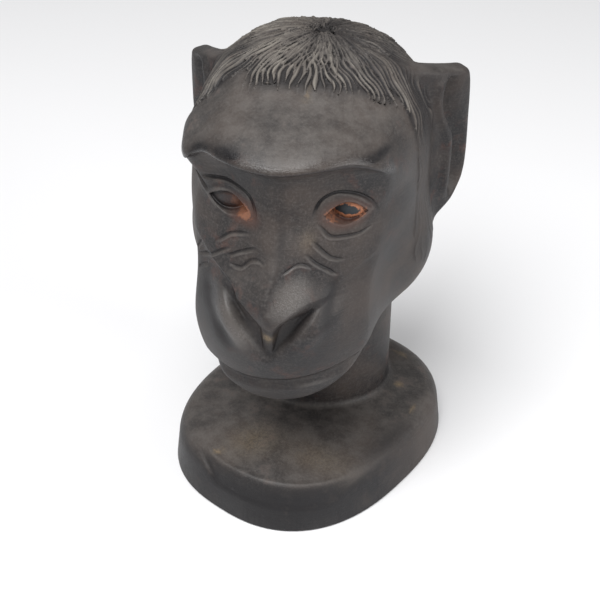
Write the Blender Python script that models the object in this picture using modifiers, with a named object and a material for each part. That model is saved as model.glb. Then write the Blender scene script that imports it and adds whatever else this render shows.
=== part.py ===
"""Bust of an ape, carved from one block of dark wood together with its rounded plinth.

Frame: +Z up, the face towards -Y, the origin under the middle of the plinth. The named sizes are in
millimetres and the objects are built in metres. The block is roughed out with primitives, made one
skin, and its points are then moved onto the carved form, which the functions below describe as a
field: below zero inside the wood, above zero outside it, and in millimetres from its surface.
"""

import math

import bmesh
import bpy
import numpy as np
from mathutils import Matrix, Vector

# Driving dimensions
PLINTH_LENGTH = 110.7  # along its long axis, from the front left to the back right
PLINTH_WIDTH = 91.3
PLINTH_HEIGHT = 20.0  # of the rim
PLINTH_SWELL = 3.0  # how far the top rises from the rim to the neck
PLINTH_ROUNDING = 8.0
PLINTH_LEAN = 0.12  # how far the side comes in for each millimetre up
PLINTH_TURN = math.radians(27.0)  # of the long axis, away from the Y axis
PLINTH_MIDDLE = (1.3, 1.9)  # it sits a little off the plane between the eyes
PLINTH_SQUARENESS = 2.46
NECK_WIDTH = 59.0
NECK_DEPTH = 50.0
NECK_BEHIND = 17.0  # of the neck's axis, behind the plinth's middle
NECK_FILLET = 6.0
CHIN_HEIGHT = 53.0  # of the chin over the table
HEAD_HEIGHT = 119.0  # from the chin to the crown

# The head is drawn 119 mm high over a chin at 53 mm, and scaled to the sizes above
DRAWN_HEAD = 119.0
DRAWN_CHIN = 53.0

# Head: each mass is its centre and its radii across, to the back and up
SKULL = ((0.0, 9.0, 128.0), (40.5, 43.0, 41.4))
SKULL_SQUARENESS = 2.35
FOREHEAD = ((0.0, -8.0, 141.0), (34.6, 41.0, 20.5))
FOREHEAD_SQUARENESS = 2.2
FACE = ((0.0, -12.0, 112.0), (32.0, 37.0, 38.0))
FACE_FRONT = 54.0
MUZZLE = ((0.0, -20.0, 84.5), (31.8, 35.0, 31.5))
MUZZLE_FRONT = 48.0
JAW = ((0.0, 8.0, 96.0), (44.0, 33.0, 34.5))
FACE_JOIN, JAW_JOIN, FOREHEAD_JOIN, MUZZLE_JOIN = 12.0, 10.0, 5.0, 9.0
LEAN_FROM = 140.0  # the midline of the face drifts to one side below this height
LEAN = 0.033
LEAN_DEPTH = 25.0  # it fades out this far behind the middle of the cheeks

# Brow: its edge from the one temple to the other, and the hollow that slopes back under it
BROW_ACROSS = (-46, -38, -34, -30, -26, -20, -8, 0, 8, 16, 22, 29, 35, 44)
BROW_HEIGHT = (138, 141.5, 143, 146, 148.3, 149.2, 149.2, 149.2, 150.2, 151, 150.8, 146.5, 139.5, 134)
BROW_FRONT_AT = (-46, -38, -30, -20, -8, 0, 8, 20, 30, 38, 46)
BROW_FRONT = (-8, -18, -31, -42, -47, -48, -47, -42, -31, -18, -8)
BROW_SLANT = 0.35
BROW_ROUNDING = 1.8
HOLLOW_ROUNDING = 4.0
BROW_BAR = 0.9  # how far it swells just over its edge
TEMPLE_POINT = (-36.0, 144.0)  # it comes to a point at the one temple
TEMPLE_POINT_OUT = 3.6
TEMPLE_POINT_REACH = (6.0, 8.5)  # to the sides and up
TEMPLE_POINT_FOOT = 130.0  # it slopes back down to this height
TEMPLE_HOLLOW = ((-35.0, 131.0), (6.0, 4.5), 1.3)  # under it: middle, reach and depth

# Face: how far forward it lies on the midline, and how far it has bent back 30 mm to the side
CHEEK_AT = (50, 56, 62, 68, 76, 84, 92, 100, 108, 116, 124, 132, 140, 147)
CHEEK = (-38, -44.5, -47.5, -49.5, -52.5, -53.8, -52.5, -49, -45.5, -42.5, -39, -37, -36.5, -38)
BEND_AT = (50, 68, 84, 100, 116, 132, 147)
BEND = (17, 18, 18.5, 16, 12, 10.5, 11)
BEND_POWER = 2.2
SOCKET = (21.0, 139.0, 9.0, 5.0, 1.6)  # a swell of the face: middle, reach and how far it goes back
CHEEKBONE = (15.0, 117.0, 7.0, 7.0, -1.8)
NOSTRIL_WING = (15.0, 99.0, 8.0, 10.0, -4.0)

# Nose: a wedge from the brow to its tip, with a flat side each way and a V beneath
RIDGE_AT = (70, 86, 92, 96, 99.5, 105, 112, 121, 130, 140, 150)
RIDGE = (-40, -52.5, -54.5, -56.5, -58.8, -57.3, -53.2, -47.8, -43.2, -42, -43)
NOSE_HALF_AT = (84, 90, 96, 99, 102, 106, 111, 118, 150)
NOSE_HALF = (1, 2.4, 4.0, 8, 15, 18, 23, 34, 60)
NOSE_SLOPE_AT = (88, 104, 112, 121, 130, 140, 150)
NOSE_SLOPE = (0.5, 0.66, 0.78, 0.88, 0.92, 0.85, 0.7)
RIDGE_ROUND_AT = (98, 108, 114, 120, 126, 150)
RIDGE_ROUND = (1.0, 1.1, 1.8, 4.5, 8.0, 9.0)
RIDGE_BENT_AT = (90, 99, 105.6, 112, 119, 130)
RIDGE_BENT = (1.0, 2.0, -0.8, 0.3, 1.4, 1.0)  # how far the ridge runs to one side
UNDER_AT = (0, 4, 7, 11, 17, 30)
UNDER = (99.0, 100.6, 102.4, 104.2, 105.0, 105.0)
LEFT_WING_IN = 6.0  # the one wing of the nose is so much shorter
NOSE_BLEND = 3.0
SLOT_AT = (80, 84, 88, 92.4, 96, 100, 104)
SLOT = (0.6, 2.6, 5.4, 8.9, 11.6, 14.6, 17.2)
SLOT_LOW, SLOT_HIGH = 82.0, 105.5
SLOT_DEPTH = 2.2

# Eyes: the centre of each eyeball, and its opening's half width, rise and drop
RIGHT_EYE = ((20.3, -22.6, 130.6), 6.3, 3.6, 3.6)
LEFT_EYE = ((-18.2, -23.2, 129.8), 7.4, 3.4, 3.6)
EYEBALL = 9.6
LID = 0.8
LID_BLEND = 2.0
LID_EDGE = 0.8

# Mouth
SEAM_HEIGHT = 70.3
SEAM_RISE = 0.12  # the one corner is higher than the other
SEAM_CURL = 0.003
SEAM_DEPTH = 1.3
SEAM_WIDTH = 1.6
LIP_STEP = 0.9  # the lower lip lies so far behind the upper one
LIP_HEIGHT = 9.0
MOUTH_HALF = 30.0

# Ears: each a leaf in an upright plane that runs out and back, dished on its front side
EAR_FOOT = (36.0, 19.0, 129.0)
EAR_OUTWARD = (0.74, 0.67)
EAR_TOP, EAR_LOW = 25.5, 35.0
EAR_TOP_SLOPE = 0.24  # its top rises towards the head
EAR_EDGE_AT = (-36, -31, -27, -24, -20.5, -16, -10, -2.5, 5, 12, 19, 24, 28, 31)
EAR_EDGE = (-1, 5, 10.2, 13.4, 15.8, 17.0, 17.4, 17.3, 17.0, 16.8, 16.2, 15.0, 12.5, 8)
EAR_THICKNESS = 8.6
EAR_BOW = 0.010  # how fast it bends back
EAR_DISH = 2.0
EAR_RIM_AT = (-40, -17, -6, 1, 6, 11.4, 16, 21.5, 26.7, 32)
EAR_RIM = (7.0, 7.7, 7.9, 7.4, 5.2, 3.0, 2.5, 3.3, 6.9, 12.0)  # where the dish begins
EAR_JOIN = 3.0
RIGHT_EAR_OUT, RIGHT_EAR_RISE = 2.4, 2.4

# Hair: locks that spread from the crown and hang over the forehead. The hairline is given for the
# angles round the crown, in degrees from the front, as the way down from it over the skull
CROWN = (2.5, 14.0, 170.5)
SKULL_REACH = 42.0
CROWN_REACH = 10.0  # the locks start this far from it
LOCKS = 50
LOCK_HEIGHT = 1.5
LOCK_TIP = 4.0
HAIRLINE_AT = (-180, -110, -75, -53, -49, -31, -14, 0, 22, 43, 52, 63, 80, 92, 110, 180)
HAIRLINE = (70, 72, 60, 43.5, 36, 36.5, 34, 32.5, 33, 36, 38.5, 41, 52, 62, 72, 70)
CARVED_TO = math.radians(100.0)  # the locks fade into a plain cap behind the ears
NAPE_FADE = 8.0

# Skin
ROUGH_STEP, ROUGH_ROUNDS = 3.0, 8
FINE_STEP, FINE_ROUNDS = 1.2, 7
SAWN_OFF = 4.0  # the block runs on below the table until its underside is sawn flat
TRIANGLES = 9200

METRES = 0.001


def join(first, second, blend):
    """Both bodies, with the corner between them filled."""
    overlap = np.maximum(blend - np.abs(first - second), 0.0) / blend
    return np.minimum(first, second) - overlap * overlap * blend * 0.25


def common(first, second, blend):
    """Where both bodies are, with the edge rounded."""
    return -join(-first, -second, blend)


def cut(body, cutter, blend):
    """The body without the cutter."""
    return common(body, -cutter, blend)


def fade(value, low, high):
    """0 below low, 1 above high and smooth in between."""
    share = np.clip((value - low) / (high - low), 0.0, 1.0)
    return share * share * (3.0 - 2.0 * share)


def curve(value, places, heights):
    """A smooth line through the given points."""
    places = np.array(places, float)
    heights = np.array(heights, float)
    slopes = np.gradient(heights, places)
    left = np.clip(np.searchsorted(places, value) - 1, 0, len(places) - 2)
    span = places[left + 1] - places[left]
    t = np.clip((value - places[left]) / span, 0.0, 1.0)
    start = (1.0 + 2.0 * t) * (1.0 - t) ** 2 * heights[left] + t * (1.0 - t) ** 2 * span * slopes[left]
    end = t * t * (3.0 - 2.0 * t) * heights[left + 1] + t * t * (t - 1.0) * span * slopes[left + 1]
    return start + end


def mass(points, shape, front=None, squareness=2.0):
    """A rounded mass. A reach to the front may differ from the one to the back."""
    centre, radii = shape
    offset = points - np.array(centre)
    reach = np.empty_like(offset)
    reach[...] = radii
    if front is not None:
        reach[..., 1] = np.where(offset[..., 1] < 0.0, front, radii[1])
    share = np.abs(offset) / reach
    size = np.maximum((share ** squareness).sum(-1) ** (1.0 / squareness), 1e-6)
    steepness = ((share / size[..., None]) ** (2.0 * (squareness - 1.0)) / (reach * reach)).sum(-1)
    return (size - 1.0) / np.sqrt(steepness)


def plinth_field(points):
    """The plinth: a rounded oval, turned, with a side that leans in and a soft rim."""
    x, y, z = points[..., 0] - PLINTH_MIDDLE[0], points[..., 1] - PLINTH_MIDDLE[1], points[..., 2]
    across = x * math.cos(PLINTH_TURN) - y * math.sin(PLINTH_TURN)
    along = x * math.sin(PLINTH_TURN) + y * math.cos(PLINTH_TURN)
    half_width, half_length = 0.5 * PLINTH_WIDTH, 0.5 * PLINTH_LENGTH
    power = PLINTH_SQUARENESS
    share = (np.abs(across / half_width) ** power + np.abs(along / half_length) ** power) ** (1.0 / power)
    side = (share - 1.0) * 0.5 * (half_width + half_length) + PLINTH_LEAN * z
    top = z - PLINTH_HEIGHT - PLINTH_SWELL * fade(-share, -0.9, -0.3)
    return np.maximum(common(side, top, PLINTH_ROUNDING), -z - SAWN_OFF)


def neck_field(points):
    """The neck: an upright column from inside the plinth to inside the head."""
    share = np.hypot(points[..., 0] / (0.5 * NECK_WIDTH), (points[..., 1] - NECK_BEHIND) / (0.5 * NECK_DEPTH))
    side = (share - 1.0) * 0.25 * (NECK_WIDTH + NECK_DEPTH)
    low = 0.5 * PLINTH_HEIGHT - points[..., 2]
    high = points[..., 2] - CHIN_HEIGHT - 0.4 * HEAD_HEIGHT
    return np.maximum(side, np.maximum(low, high))


def head_mass(points):
    """The head before its carving."""
    body = join(mass(points, SKULL, None, SKULL_SQUARENESS), mass(points, FACE, FACE_FRONT), FACE_JOIN)
    body = join(body, mass(points, JAW), JAW_JOIN)
    body = join(body, mass(points, FOREHEAD, None, FOREHEAD_SQUARENESS), FOREHEAD_JOIN)
    return join(body, mass(points, MUZZLE, MUZZLE_FRONT), MUZZLE_JOIN)


def swell(value, middle, reach):
    """A soft hump, 1 in the middle."""
    return np.exp(-((value - middle) / reach) ** 2)


def bulge(side, z, shape):
    """A soft swell or hollow of the face."""
    across, up, wide, high, back = shape
    return back * swell(side, across, wide) * swell(z, up, high)


def face_depth(x, z):
    """The Y of the face below the brow, for each place across and each height."""
    side = np.abs(x)
    cheek = curve(z, CHEEK_AT, CHEEK) + curve(z, BEND_AT, BEND) * (side / 30.0) ** BEND_POWER
    for shape in (SOCKET, CHEEKBONE, NOSTRIL_WING):
        cheek = cheek + bulge(side, z, shape)
    cheek = cheek + slots(side, z)
    soft = curve(z, RIDGE_ROUND_AT, RIDGE_ROUND)
    out = np.hypot(x - curve(z, RIDGE_BENT_AT, RIDGE_BENT), soft) - soft
    nose = curve(z, RIDGE_AT, RIDGE) + curve(z, NOSE_SLOPE_AT, NOSE_SLOPE) * out
    half = curve(z, NOSE_HALF_AT, NOSE_HALF)
    half = half - LEFT_WING_IN * fade(-x, 2.0, 5.0) * fade(z, 97.0, 102.0) * fade(-z, -112.0, -106.0)
    nose = nose + 1.2 * np.maximum(side - half, 0.0)
    nose = nose + 1.1 * np.maximum(curve(side, UNDER_AT, UNDER) - z, 0.0) * fade(side, 1.5, 5.0)
    return join(cheek, nose, NOSE_BLEND + 2.5 * fade(z, 106.0, 122.0) + 4.0 * fade(side, 16.0, 24.0))


def slots(side, z):
    """How far the two nostril slots go back. They run down from the wings and meet over the lip."""
    inward = curve(z, SLOT_AT, SLOT) - side
    ends = fade(z, SLOT_LOW - 1.5, SLOT_LOW + 2.0) * fade(-z, -SLOT_HIGH - 1.0, 1.0 - SLOT_HIGH)
    floor = fade(inward, -0.5, 1.3) * (1.0 - 0.5 * fade(inward, 2.0, 7.0))
    return SLOT_DEPTH * floor * ends


def brow_roll(points):
    """How far the brow swells over its edge."""
    x, y, z = points[..., 0], points[..., 1], points[..., 2]
    return BROW_BAR * swell(z - curve(x, BROW_ACROSS, BROW_HEIGHT), 2.0, 4.0) * fade(-y, 20.0, 34.0)


def temple(points):
    """The point of the brow at the one temple, and the hollow under it, below zero."""
    x, y, z = points[..., 0], points[..., 1], points[..., 2]
    over = np.maximum(z - TEMPLE_POINT[1], 0.0)
    point = swell(x, TEMPLE_POINT[0], TEMPLE_POINT_REACH[0]) * swell(over, 0.0, TEMPLE_POINT_REACH[1])
    point = TEMPLE_POINT_OUT * point * fade(z, TEMPLE_POINT_FOOT, TEMPLE_POINT[1])
    middle, reach, deep = TEMPLE_HOLLOW
    hollow = deep * swell(x, middle[0], reach[0]) * swell(z, middle[1], reach[1])
    return (point - hollow) * fade(-y, 4.0, 16.0)


def brow_hollow(points, depth):
    """What is cut away below the brow."""
    x, y, z = points[..., 0], points[..., 1], points[..., 2]
    back = np.clip(y - curve(x, BROW_FRONT_AT, BROW_FRONT), -3.0, 9.0)
    ceiling = curve(x, BROW_ACROSS, BROW_HEIGHT) - BROW_SLANT * back
    return common(z - ceiling, (y - depth) * 0.8, HOLLOW_ROUNDING)


def with_eye(points, body, eye):
    """Swollen lids with an almond opening, and the eyeball a little behind their rim."""
    centre, half, rise, drop = eye
    ball = np.linalg.norm(points - np.array(centre), axis=-1) - EYEBALL
    body = join(body, ball - LID, LID_BLEND)
    across = (points[..., 0] - centre[0]) / half
    upper = points[..., 2] - centre[2] - rise * (1.0 - across ** 2)
    lower = centre[2] - drop * (1.0 - across ** 2) - points[..., 2]
    opening = np.maximum(np.maximum(upper, lower), points[..., 1] - centre[1] - 4.0)
    return cut(body, np.maximum(opening, -ball), LID_EDGE)


def mouth(points):
    """How deep the seam between the lips is cut, and the lower lip set back under it."""
    x, y, z = points[..., 0], points[..., 1], points[..., 2]
    off = z - SEAM_HEIGHT - SEAM_RISE * x - SEAM_CURL * x * x
    step = LIP_STEP * fade(-off, 0.0, 0.8) * fade(off, -LIP_HEIGHT, -2.0)
    ends = fade(-np.abs(x), -MOUTH_HALF, 6.0 - MOUTH_HALF) * fade(-y, 18.0, 24.0)
    return (SEAM_DEPTH * swell(off, 0.0, SEAM_WIDTH) + step) * ends


def ear(points):
    """One ear, on the +X side."""
    out = np.array([EAR_OUTWARD[0], EAR_OUTWARD[1], 0.0])
    front = np.array([EAR_OUTWARD[1], -EAR_OUTWARD[0], 0.0])
    offset = points - np.array(EAR_FOOT)
    along, ahead, up = offset @ out, offset @ front, offset[..., 2]
    ahead = ahead + EAR_BOW * (along - 4.0) ** 2
    inward = along - curve(up, EAR_RIM_AT, EAR_RIM)
    dent = EAR_DISH * fade(inward, -0.6, 1.8) * (1.0 - 0.8 * fade(inward, 1.5, 9.0))
    dent = dent * fade(up, -27.0, -17.0) * fade(-up, -24.5, -20.0)
    top = up - EAR_TOP + EAR_TOP_SLOPE * (along - 6.0)
    edge = common(along - curve(up, EAR_EDGE_AT, EAR_EDGE), top, 3.0)
    half = 0.5 * EAR_THICKNESS
    leaf = common(ahead - half + dent, -ahead - half, 3.0)
    return common(np.maximum(edge, -up - EAR_LOW), leaf, 3.2)


def round_crown(points):
    """The angle round the crown, 0 at the front, and the way down from it over the skull."""
    middle = np.array(SKULL[0])
    axis = np.array(CROWN) - middle
    axis = axis / np.linalg.norm(axis)
    front = np.array([0.0, -1.0, 0.0])
    front = front - axis * (front @ axis)
    front = front / np.linalg.norm(front)
    right = np.cross(axis, front)
    offset = points - middle
    far = np.maximum(np.linalg.norm(offset, axis=-1), 1e-6)
    way = np.arccos(np.clip(offset @ axis / far, -1.0, 1.0)) * SKULL_REACH
    return np.arctan2(offset @ right, offset @ front), way


def hair(points):
    """How far the locks stand over the skull."""
    around, way = round_crown(points)
    turn = around + 0.05 * np.sin(0.17 * way + 2.0 * around)
    place = turn * LOCKS / (2.0 * np.pi)
    lock = 1.0 - (2.0 * (place - np.floor(place)) - 1.0) ** 2
    carved = fade(-np.abs(around), -CARVED_TO, 0.3 - CARVED_TO) * fade(way, CROWN_REACH, 2.0 * CROWN_REACH)
    lock = 1.0 - carved * (1.0 - lock)
    line = curve(np.degrees(around), HAIRLINE_AT, HAIRLINE)
    inside = fade((line + LOCK_TIP * (lock - 0.5) - way) / (1.2 + NAPE_FADE * (1.0 - carved)), 0.0, 1.0)
    return LOCK_HEIGHT * inside * (0.3 + 0.7 * lock)


def drawn_head(points):
    """The carved head at its drawn size."""
    y, z = points[..., 1], points[..., 2]
    x = points[..., 0] + LEAN * np.maximum(LEAN_FROM - z, 0.0) * fade(-y, 0.0, LEAN_DEPTH)
    leaned = np.stack([x, y, z], -1)
    body = head_mass(np.stack([np.abs(x), y, z], -1)) - hair(points) - brow_roll(leaned)
    body = cut(body, brow_hollow(leaned, face_depth(x, z)), BROW_ROUNDING) - temple(leaned)
    for eye in (RIGHT_EYE, LEFT_EYE):
        body = with_eye(leaned, body, eye)
    body = body + mouth(leaned)
    right = points[..., 0] > 0.0
    across = np.abs(points[..., 0]) - RIGHT_EAR_OUT * right
    return join(body, ear(np.stack([across, y, z - RIGHT_EAR_RISE * right], -1)), EAR_JOIN)


def bust_field(points):
    """The whole bust, for points in millimetres."""
    size = HEAD_HEIGHT / DRAWN_HEAD
    chin = np.array([0.0, 0.0, CHIN_HEIGHT])
    drawn = (points - chin) / size + np.array([0.0, 0.0, DRAWN_CHIN])
    body = join(drawn_head(drawn) * size, neck_field(points), NECK_FILLET)
    return join(body, plinth_field(points), 0.5 * NECK_FILLET)


def head_place(centre):
    """A place on the drawn head, as it lies in the bust."""
    size = HEAD_HEIGHT / DRAWN_HEAD
    return Vector((centre[0] * size, centre[1] * size, (centre[2] - DRAWN_CHIN) * size + CHIN_HEIGHT))


def add_ball(mesh, centre, radii, turn=0.0):
    """An ellipsoid of the rough-out."""
    place = Matrix.Translation(centre) @ Matrix.Rotation(turn, 4, "Z") @ Matrix.Diagonal((*radii, 1.0))
    bmesh.ops.create_uvsphere(mesh, u_segments=32, v_segments=20, radius=1.0, matrix=place)


def add_column(mesh, radii, low, high, middle, turn):
    """An oval column of the rough-out."""
    place = Matrix.Translation((*middle, 0.5 * (low + high))) @ Matrix.Rotation(turn, 4, "Z")
    place = place @ Matrix.Diagonal((*radii, high - low, 1.0))
    bmesh.ops.create_cone(
        mesh, cap_ends=True, segments=48, radius1=1.0, radius2=1.0, depth=1.0, matrix=place
    )


def rough_out():
    """The block with its main masses, still without carving."""
    mesh = bmesh.new()
    size = HEAD_HEIGHT / DRAWN_HEAD
    for centre, radii in (SKULL, FOREHEAD, FACE, MUZZLE, JAW):
        add_ball(mesh, head_place(centre), [radius * size for radius in radii])
    widest = max(EAR_EDGE)
    ear_radii = (0.85 * widest * size, 0.75 * EAR_THICKNESS * size, 0.5 * (EAR_TOP + EAR_LOW) * size)
    for side in (-1.0, 1.0):
        out = 0.3 * widest
        place = (
            side * (EAR_FOOT[0] + out * EAR_OUTWARD[0]),
            EAR_FOOT[1] + out * EAR_OUTWARD[1],
            EAR_FOOT[2] + 0.5 * (EAR_TOP - EAR_LOW),
        )
        add_ball(mesh, head_place(place), ear_radii, side * math.atan2(EAR_OUTWARD[1], EAR_OUTWARD[0]))
    radii = (0.5 * NECK_WIDTH, 0.5 * NECK_DEPTH)
    add_column(mesh, radii, 0.5 * PLINTH_HEIGHT, CHIN_HEIGHT + 0.4 * HEAD_HEIGHT, (0.0, NECK_BEHIND), 0.0)
    radii = (0.5 * PLINTH_WIDTH, 0.5 * PLINTH_LENGTH)
    add_column(mesh, radii, -SAWN_OFF, PLINTH_HEIGHT, PLINTH_MIDDLE, -PLINTH_TURN)
    return mesh


def skinned(mesh, step):
    """The mesh as one skin of even squares."""
    data = bpy.data.meshes.new("skin")
    mesh.to_mesh(data)
    mesh.free()
    block = bpy.data.objects.new("skin", data)
    bpy.context.scene.collection.objects.link(block)
    remesh = block.modifiers.new("skin", "REMESH")
    remesh.mode = "VOXEL"
    remesh.voxel_size = step
    remesh.adaptivity = 0.0
    return evaluated(block)


def evaluated(block):
    """The mesh that an object's modifiers make, and the object removed."""
    bpy.context.view_layer.update()
    made = block.evaluated_get(bpy.context.evaluated_depsgraph_get())
    mesh = bmesh.new()
    mesh.from_mesh(made.to_mesh())
    made.to_mesh_clear()
    data = block.data
    bpy.data.objects.remove(block)
    bpy.data.meshes.remove(data)
    return mesh


def smooth(mesh, factor):
    """Evens the skin out."""
    bmesh.ops.smooth_vert(
        mesh, verts=mesh.verts[:], factor=factor, use_axis_x=True, use_axis_y=True, use_axis_z=True
    )


def settle(mesh, rounds, step):
    """Moves the points onto the form, smoothing them in between."""
    reach = 0.4
    for _ in range(rounds):
        smooth(mesh, 0.5)
        points = np.array([vertex.co for vertex in mesh.verts])
        field = bust_field(points)
        slope = np.stack([bust_field(points + reach * axis) - field for axis in np.eye(3)], -1) / reach
        steep = np.maximum((slope * slope).sum(-1), 0.2)
        move = np.clip(field / np.sqrt(steep), -2.0 * step, 2.0 * step) / np.sqrt(steep)
        points = points - slope * move[:, None]
        for vertex, place in zip(mesh.verts, points):
            vertex.co = place
    smooth(mesh, 0.2)


def thinned(mesh, triangles):
    """The skin with fewer triangles, most of them where it bends."""
    data = bpy.data.meshes.new("thin")
    bmesh.ops.triangulate(mesh, faces=mesh.faces[:])
    share = triangles / len(mesh.faces)
    mesh.to_mesh(data)
    mesh.free()
    block = bpy.data.objects.new("thin", data)
    bpy.context.scene.collection.objects.link(block)
    decimate = block.modifiers.new("thin", "DECIMATE")
    decimate.ratio = min(1.0, share)
    decimate.use_collapse_triangulate = True
    return evaluated(block)


def sawn_flat(mesh):
    """The underside sawn off at the table."""
    whole = mesh.verts[:] + mesh.edges[:] + mesh.faces[:]
    bmesh.ops.bisect_plane(
        mesh, geom=whole, dist=0.02, plane_co=(0.0, 0.0, 0.0), plane_no=(0.0, 0.0, -1.0), clear_outer=True
    )
    low = [vertex for vertex in mesh.verts if vertex.co.z < 0.02]
    bmesh.ops.remove_doubles(mesh, verts=low, dist=0.2)
    bmesh.ops.holes_fill(mesh, edges=[edge for edge in mesh.edges if edge.is_boundary], sides=0)
    bmesh.ops.triangulate(mesh, faces=mesh.faces[:])
    bmesh.ops.recalc_face_normals(mesh, faces=mesh.faces[:])


def dark_wood():
    """Oiled near-black wood."""
    material = bpy.data.materials.new("dark_wood")
    material.use_nodes = True
    shader = material.node_tree.nodes["Principled BSDF"]
    shader.inputs["Base Color"].default_value = (0.028, 0.024, 0.022, 1.0)
    shader.inputs["Roughness"].default_value = 0.42
    shader.inputs["Metallic"].default_value = 0.0
    return material


def build_bust(collection):
    """The bust, its plinth included: one piece of wood."""
    mesh = skinned(rough_out(), ROUGH_STEP)
    settle(mesh, ROUGH_ROUNDS, ROUGH_STEP)
    mesh = skinned(mesh, FINE_STEP)
    settle(mesh, FINE_ROUNDS, FINE_STEP)
    mesh = thinned(mesh, TRIANGLES)
    sawn_flat(mesh)
    bmesh.ops.scale(mesh, vec=(METRES, METRES, METRES), verts=mesh.verts[:])
    data = bpy.data.meshes.new("bust")
    mesh.to_mesh(data)
    mesh.free()
    data.shade_smooth()
    data.materials.append(dark_wood())
    bust = bpy.data.objects.new("bust", data)
    collection.objects.link(bust)
    return bust


def main():
    """Clears the scene and builds the bust in a collection of its own."""
    for old in list(bpy.data.objects):
        bpy.data.objects.remove(old)
    collection = bpy.data.collections.new("ape_bust")
    bpy.context.scene.collection.children.link(collection)
    build_bust(collection)


main()
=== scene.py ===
"""Bust of an ape in dark wood: the finished carving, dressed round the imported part.

The form is described in millimetres as a field: below zero inside the wood and above zero outside it.
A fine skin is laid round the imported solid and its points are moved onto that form, with every lock of
hair, lid and crease cut into it. What is built is in metres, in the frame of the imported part: +Z up
and the face towards -Y.
"""

import logging
import math
from dataclasses import dataclass
from enum import Enum

import bmesh
import bpy
import numpy as np
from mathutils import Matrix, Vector


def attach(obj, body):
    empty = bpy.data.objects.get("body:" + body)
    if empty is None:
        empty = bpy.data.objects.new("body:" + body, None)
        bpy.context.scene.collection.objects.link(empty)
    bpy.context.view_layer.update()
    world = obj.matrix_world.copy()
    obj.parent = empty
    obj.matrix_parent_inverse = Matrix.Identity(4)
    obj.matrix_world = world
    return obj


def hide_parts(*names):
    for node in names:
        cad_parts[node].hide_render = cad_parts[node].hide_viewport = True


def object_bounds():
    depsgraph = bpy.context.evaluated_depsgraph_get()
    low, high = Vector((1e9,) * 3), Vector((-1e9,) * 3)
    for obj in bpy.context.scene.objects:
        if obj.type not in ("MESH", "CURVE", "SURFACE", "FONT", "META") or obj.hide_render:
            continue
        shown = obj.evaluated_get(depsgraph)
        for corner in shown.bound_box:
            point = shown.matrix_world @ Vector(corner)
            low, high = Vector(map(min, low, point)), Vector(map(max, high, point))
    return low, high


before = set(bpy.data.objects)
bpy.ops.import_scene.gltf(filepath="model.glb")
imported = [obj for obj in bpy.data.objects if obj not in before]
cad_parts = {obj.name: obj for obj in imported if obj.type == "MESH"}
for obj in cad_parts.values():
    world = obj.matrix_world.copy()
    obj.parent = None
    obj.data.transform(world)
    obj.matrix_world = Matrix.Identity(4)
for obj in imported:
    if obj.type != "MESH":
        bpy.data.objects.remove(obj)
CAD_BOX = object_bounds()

Array = np.ndarray
Point = tuple[float, float, float]
Places = tuple[float, ...]
Colour = tuple[float, float, float, float]
Socket = bpy.types.NodeSocket

METRES = 0.001
MILLIMETRES = 1000.0
# The fine streaks of the hair: how many go round the crown, and how slowly they change on the way from it
STREAKS = 36.0
STREAK_RUN = 0.12

NODE = "bust"
LOG = logging.getLogger("ape_bust")


def join(first: Array, second: Array, blend: float) -> Array:
    """Puts two bodies together.

    Args:
        first: the field of the one body.
        second: the field of the other.
        blend: how wide the corner between them is filled.

    Returns:
        The field of both.
    """
    overlap = np.maximum(blend - np.abs(first - second), 0.0) / blend
    return np.minimum(first, second) - overlap * overlap * blend * 0.25


def common(first: Array, second: Array, blend: float) -> Array:
    """The field of what lies in both bodies, with the edge rounded over the width blend."""
    return -join(-first, -second, blend)


def cut(body: Array, cutter: Array, blend: float) -> Array:
    """The field of a body with a cutter taken out, and the edge rounded over the width blend."""
    return common(body, -cutter, blend)


def fade(value: Array, low: float, high: float) -> Array:
    """Runs smoothly from 0 to 1.

    Args:
        value: what decides.
        low: where the result is still 0.
        high: where it is 1.

    Returns:
        The share from 0 to 1.
    """
    share = np.clip((value - low) / (high - low), 0.0, 1.0)
    return share * share * (3.0 - 2.0 * share)


def swell(value: Array, middle: float, reach: float) -> Array:
    """A soft hump: 1 in its middle, falling to 0 over its reach to each side."""
    return np.exp(-(((value - middle) / reach) ** 2))


def curve(value: Array, places: Places, heights: Places) -> Array:
    """A smooth line through given points.

    Args:
        value: where the line is read.
        places: the places of the points, rising.
        heights: their heights.

    Returns:
        The line's height at each value.
    """
    at = np.array(places, float)
    up = np.array(heights, float)
    slopes = np.gradient(up, at)
    left = np.clip(np.searchsorted(at, value) - 1, 0, len(at) - 2)
    span = at[left + 1] - at[left]
    t = np.clip((value - at[left]) / span, 0.0, 1.0)
    start = (1.0 + 2.0 * t) * (1.0 - t) ** 2 * up[left] + t * (1.0 - t) ** 2 * span * slopes[left]
    end = t * t * (3.0 - 2.0 * t) * up[left + 1] + t * t * (t - 1.0) * span * slopes[left + 1]
    return start + end


def placed(name: str, data: bpy.types.ID) -> bpy.types.Object:
    """Makes an object of a mesh, a light or a camera and puts it in the scene."""
    made = bpy.data.objects.new(name, data)
    bpy.context.scene.collection.objects.link(made)
    return made


@dataclass(frozen=True)
class Mass:
    """A rounded mass of the head.

    Args:
        centre: its middle.
        radii: its reach across, to the back and up.
        front: its reach to the front, where that differs.
        squareness: 2 for an ellipsoid, more for a squarer body.
    """

    centre: Point
    radii: Point
    front: float = 0.0
    squareness: float = 2.0

    def field(self, points: Array) -> Array:
        """The distance from the mass.

        Args:
            points: places in millimetres.

        Returns:
            The field at each of them.
        """
        offset = points - np.array(self.centre)
        reach = np.empty_like(offset)
        reach[...] = self.radii
        if self.front:
            reach[..., 1] = np.where(offset[..., 1] < 0.0, self.front, self.radii[1])
        share = np.abs(offset) / reach
        power = self.squareness
        size = np.maximum((share ** power).sum(-1) ** (1.0 / power), 1e-6)
        steep = ((share / size[..., None]) ** (2.0 * (power - 1.0)) / (reach * reach)).sum(-1)
        return (size - 1.0) / np.sqrt(steep)


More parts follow.
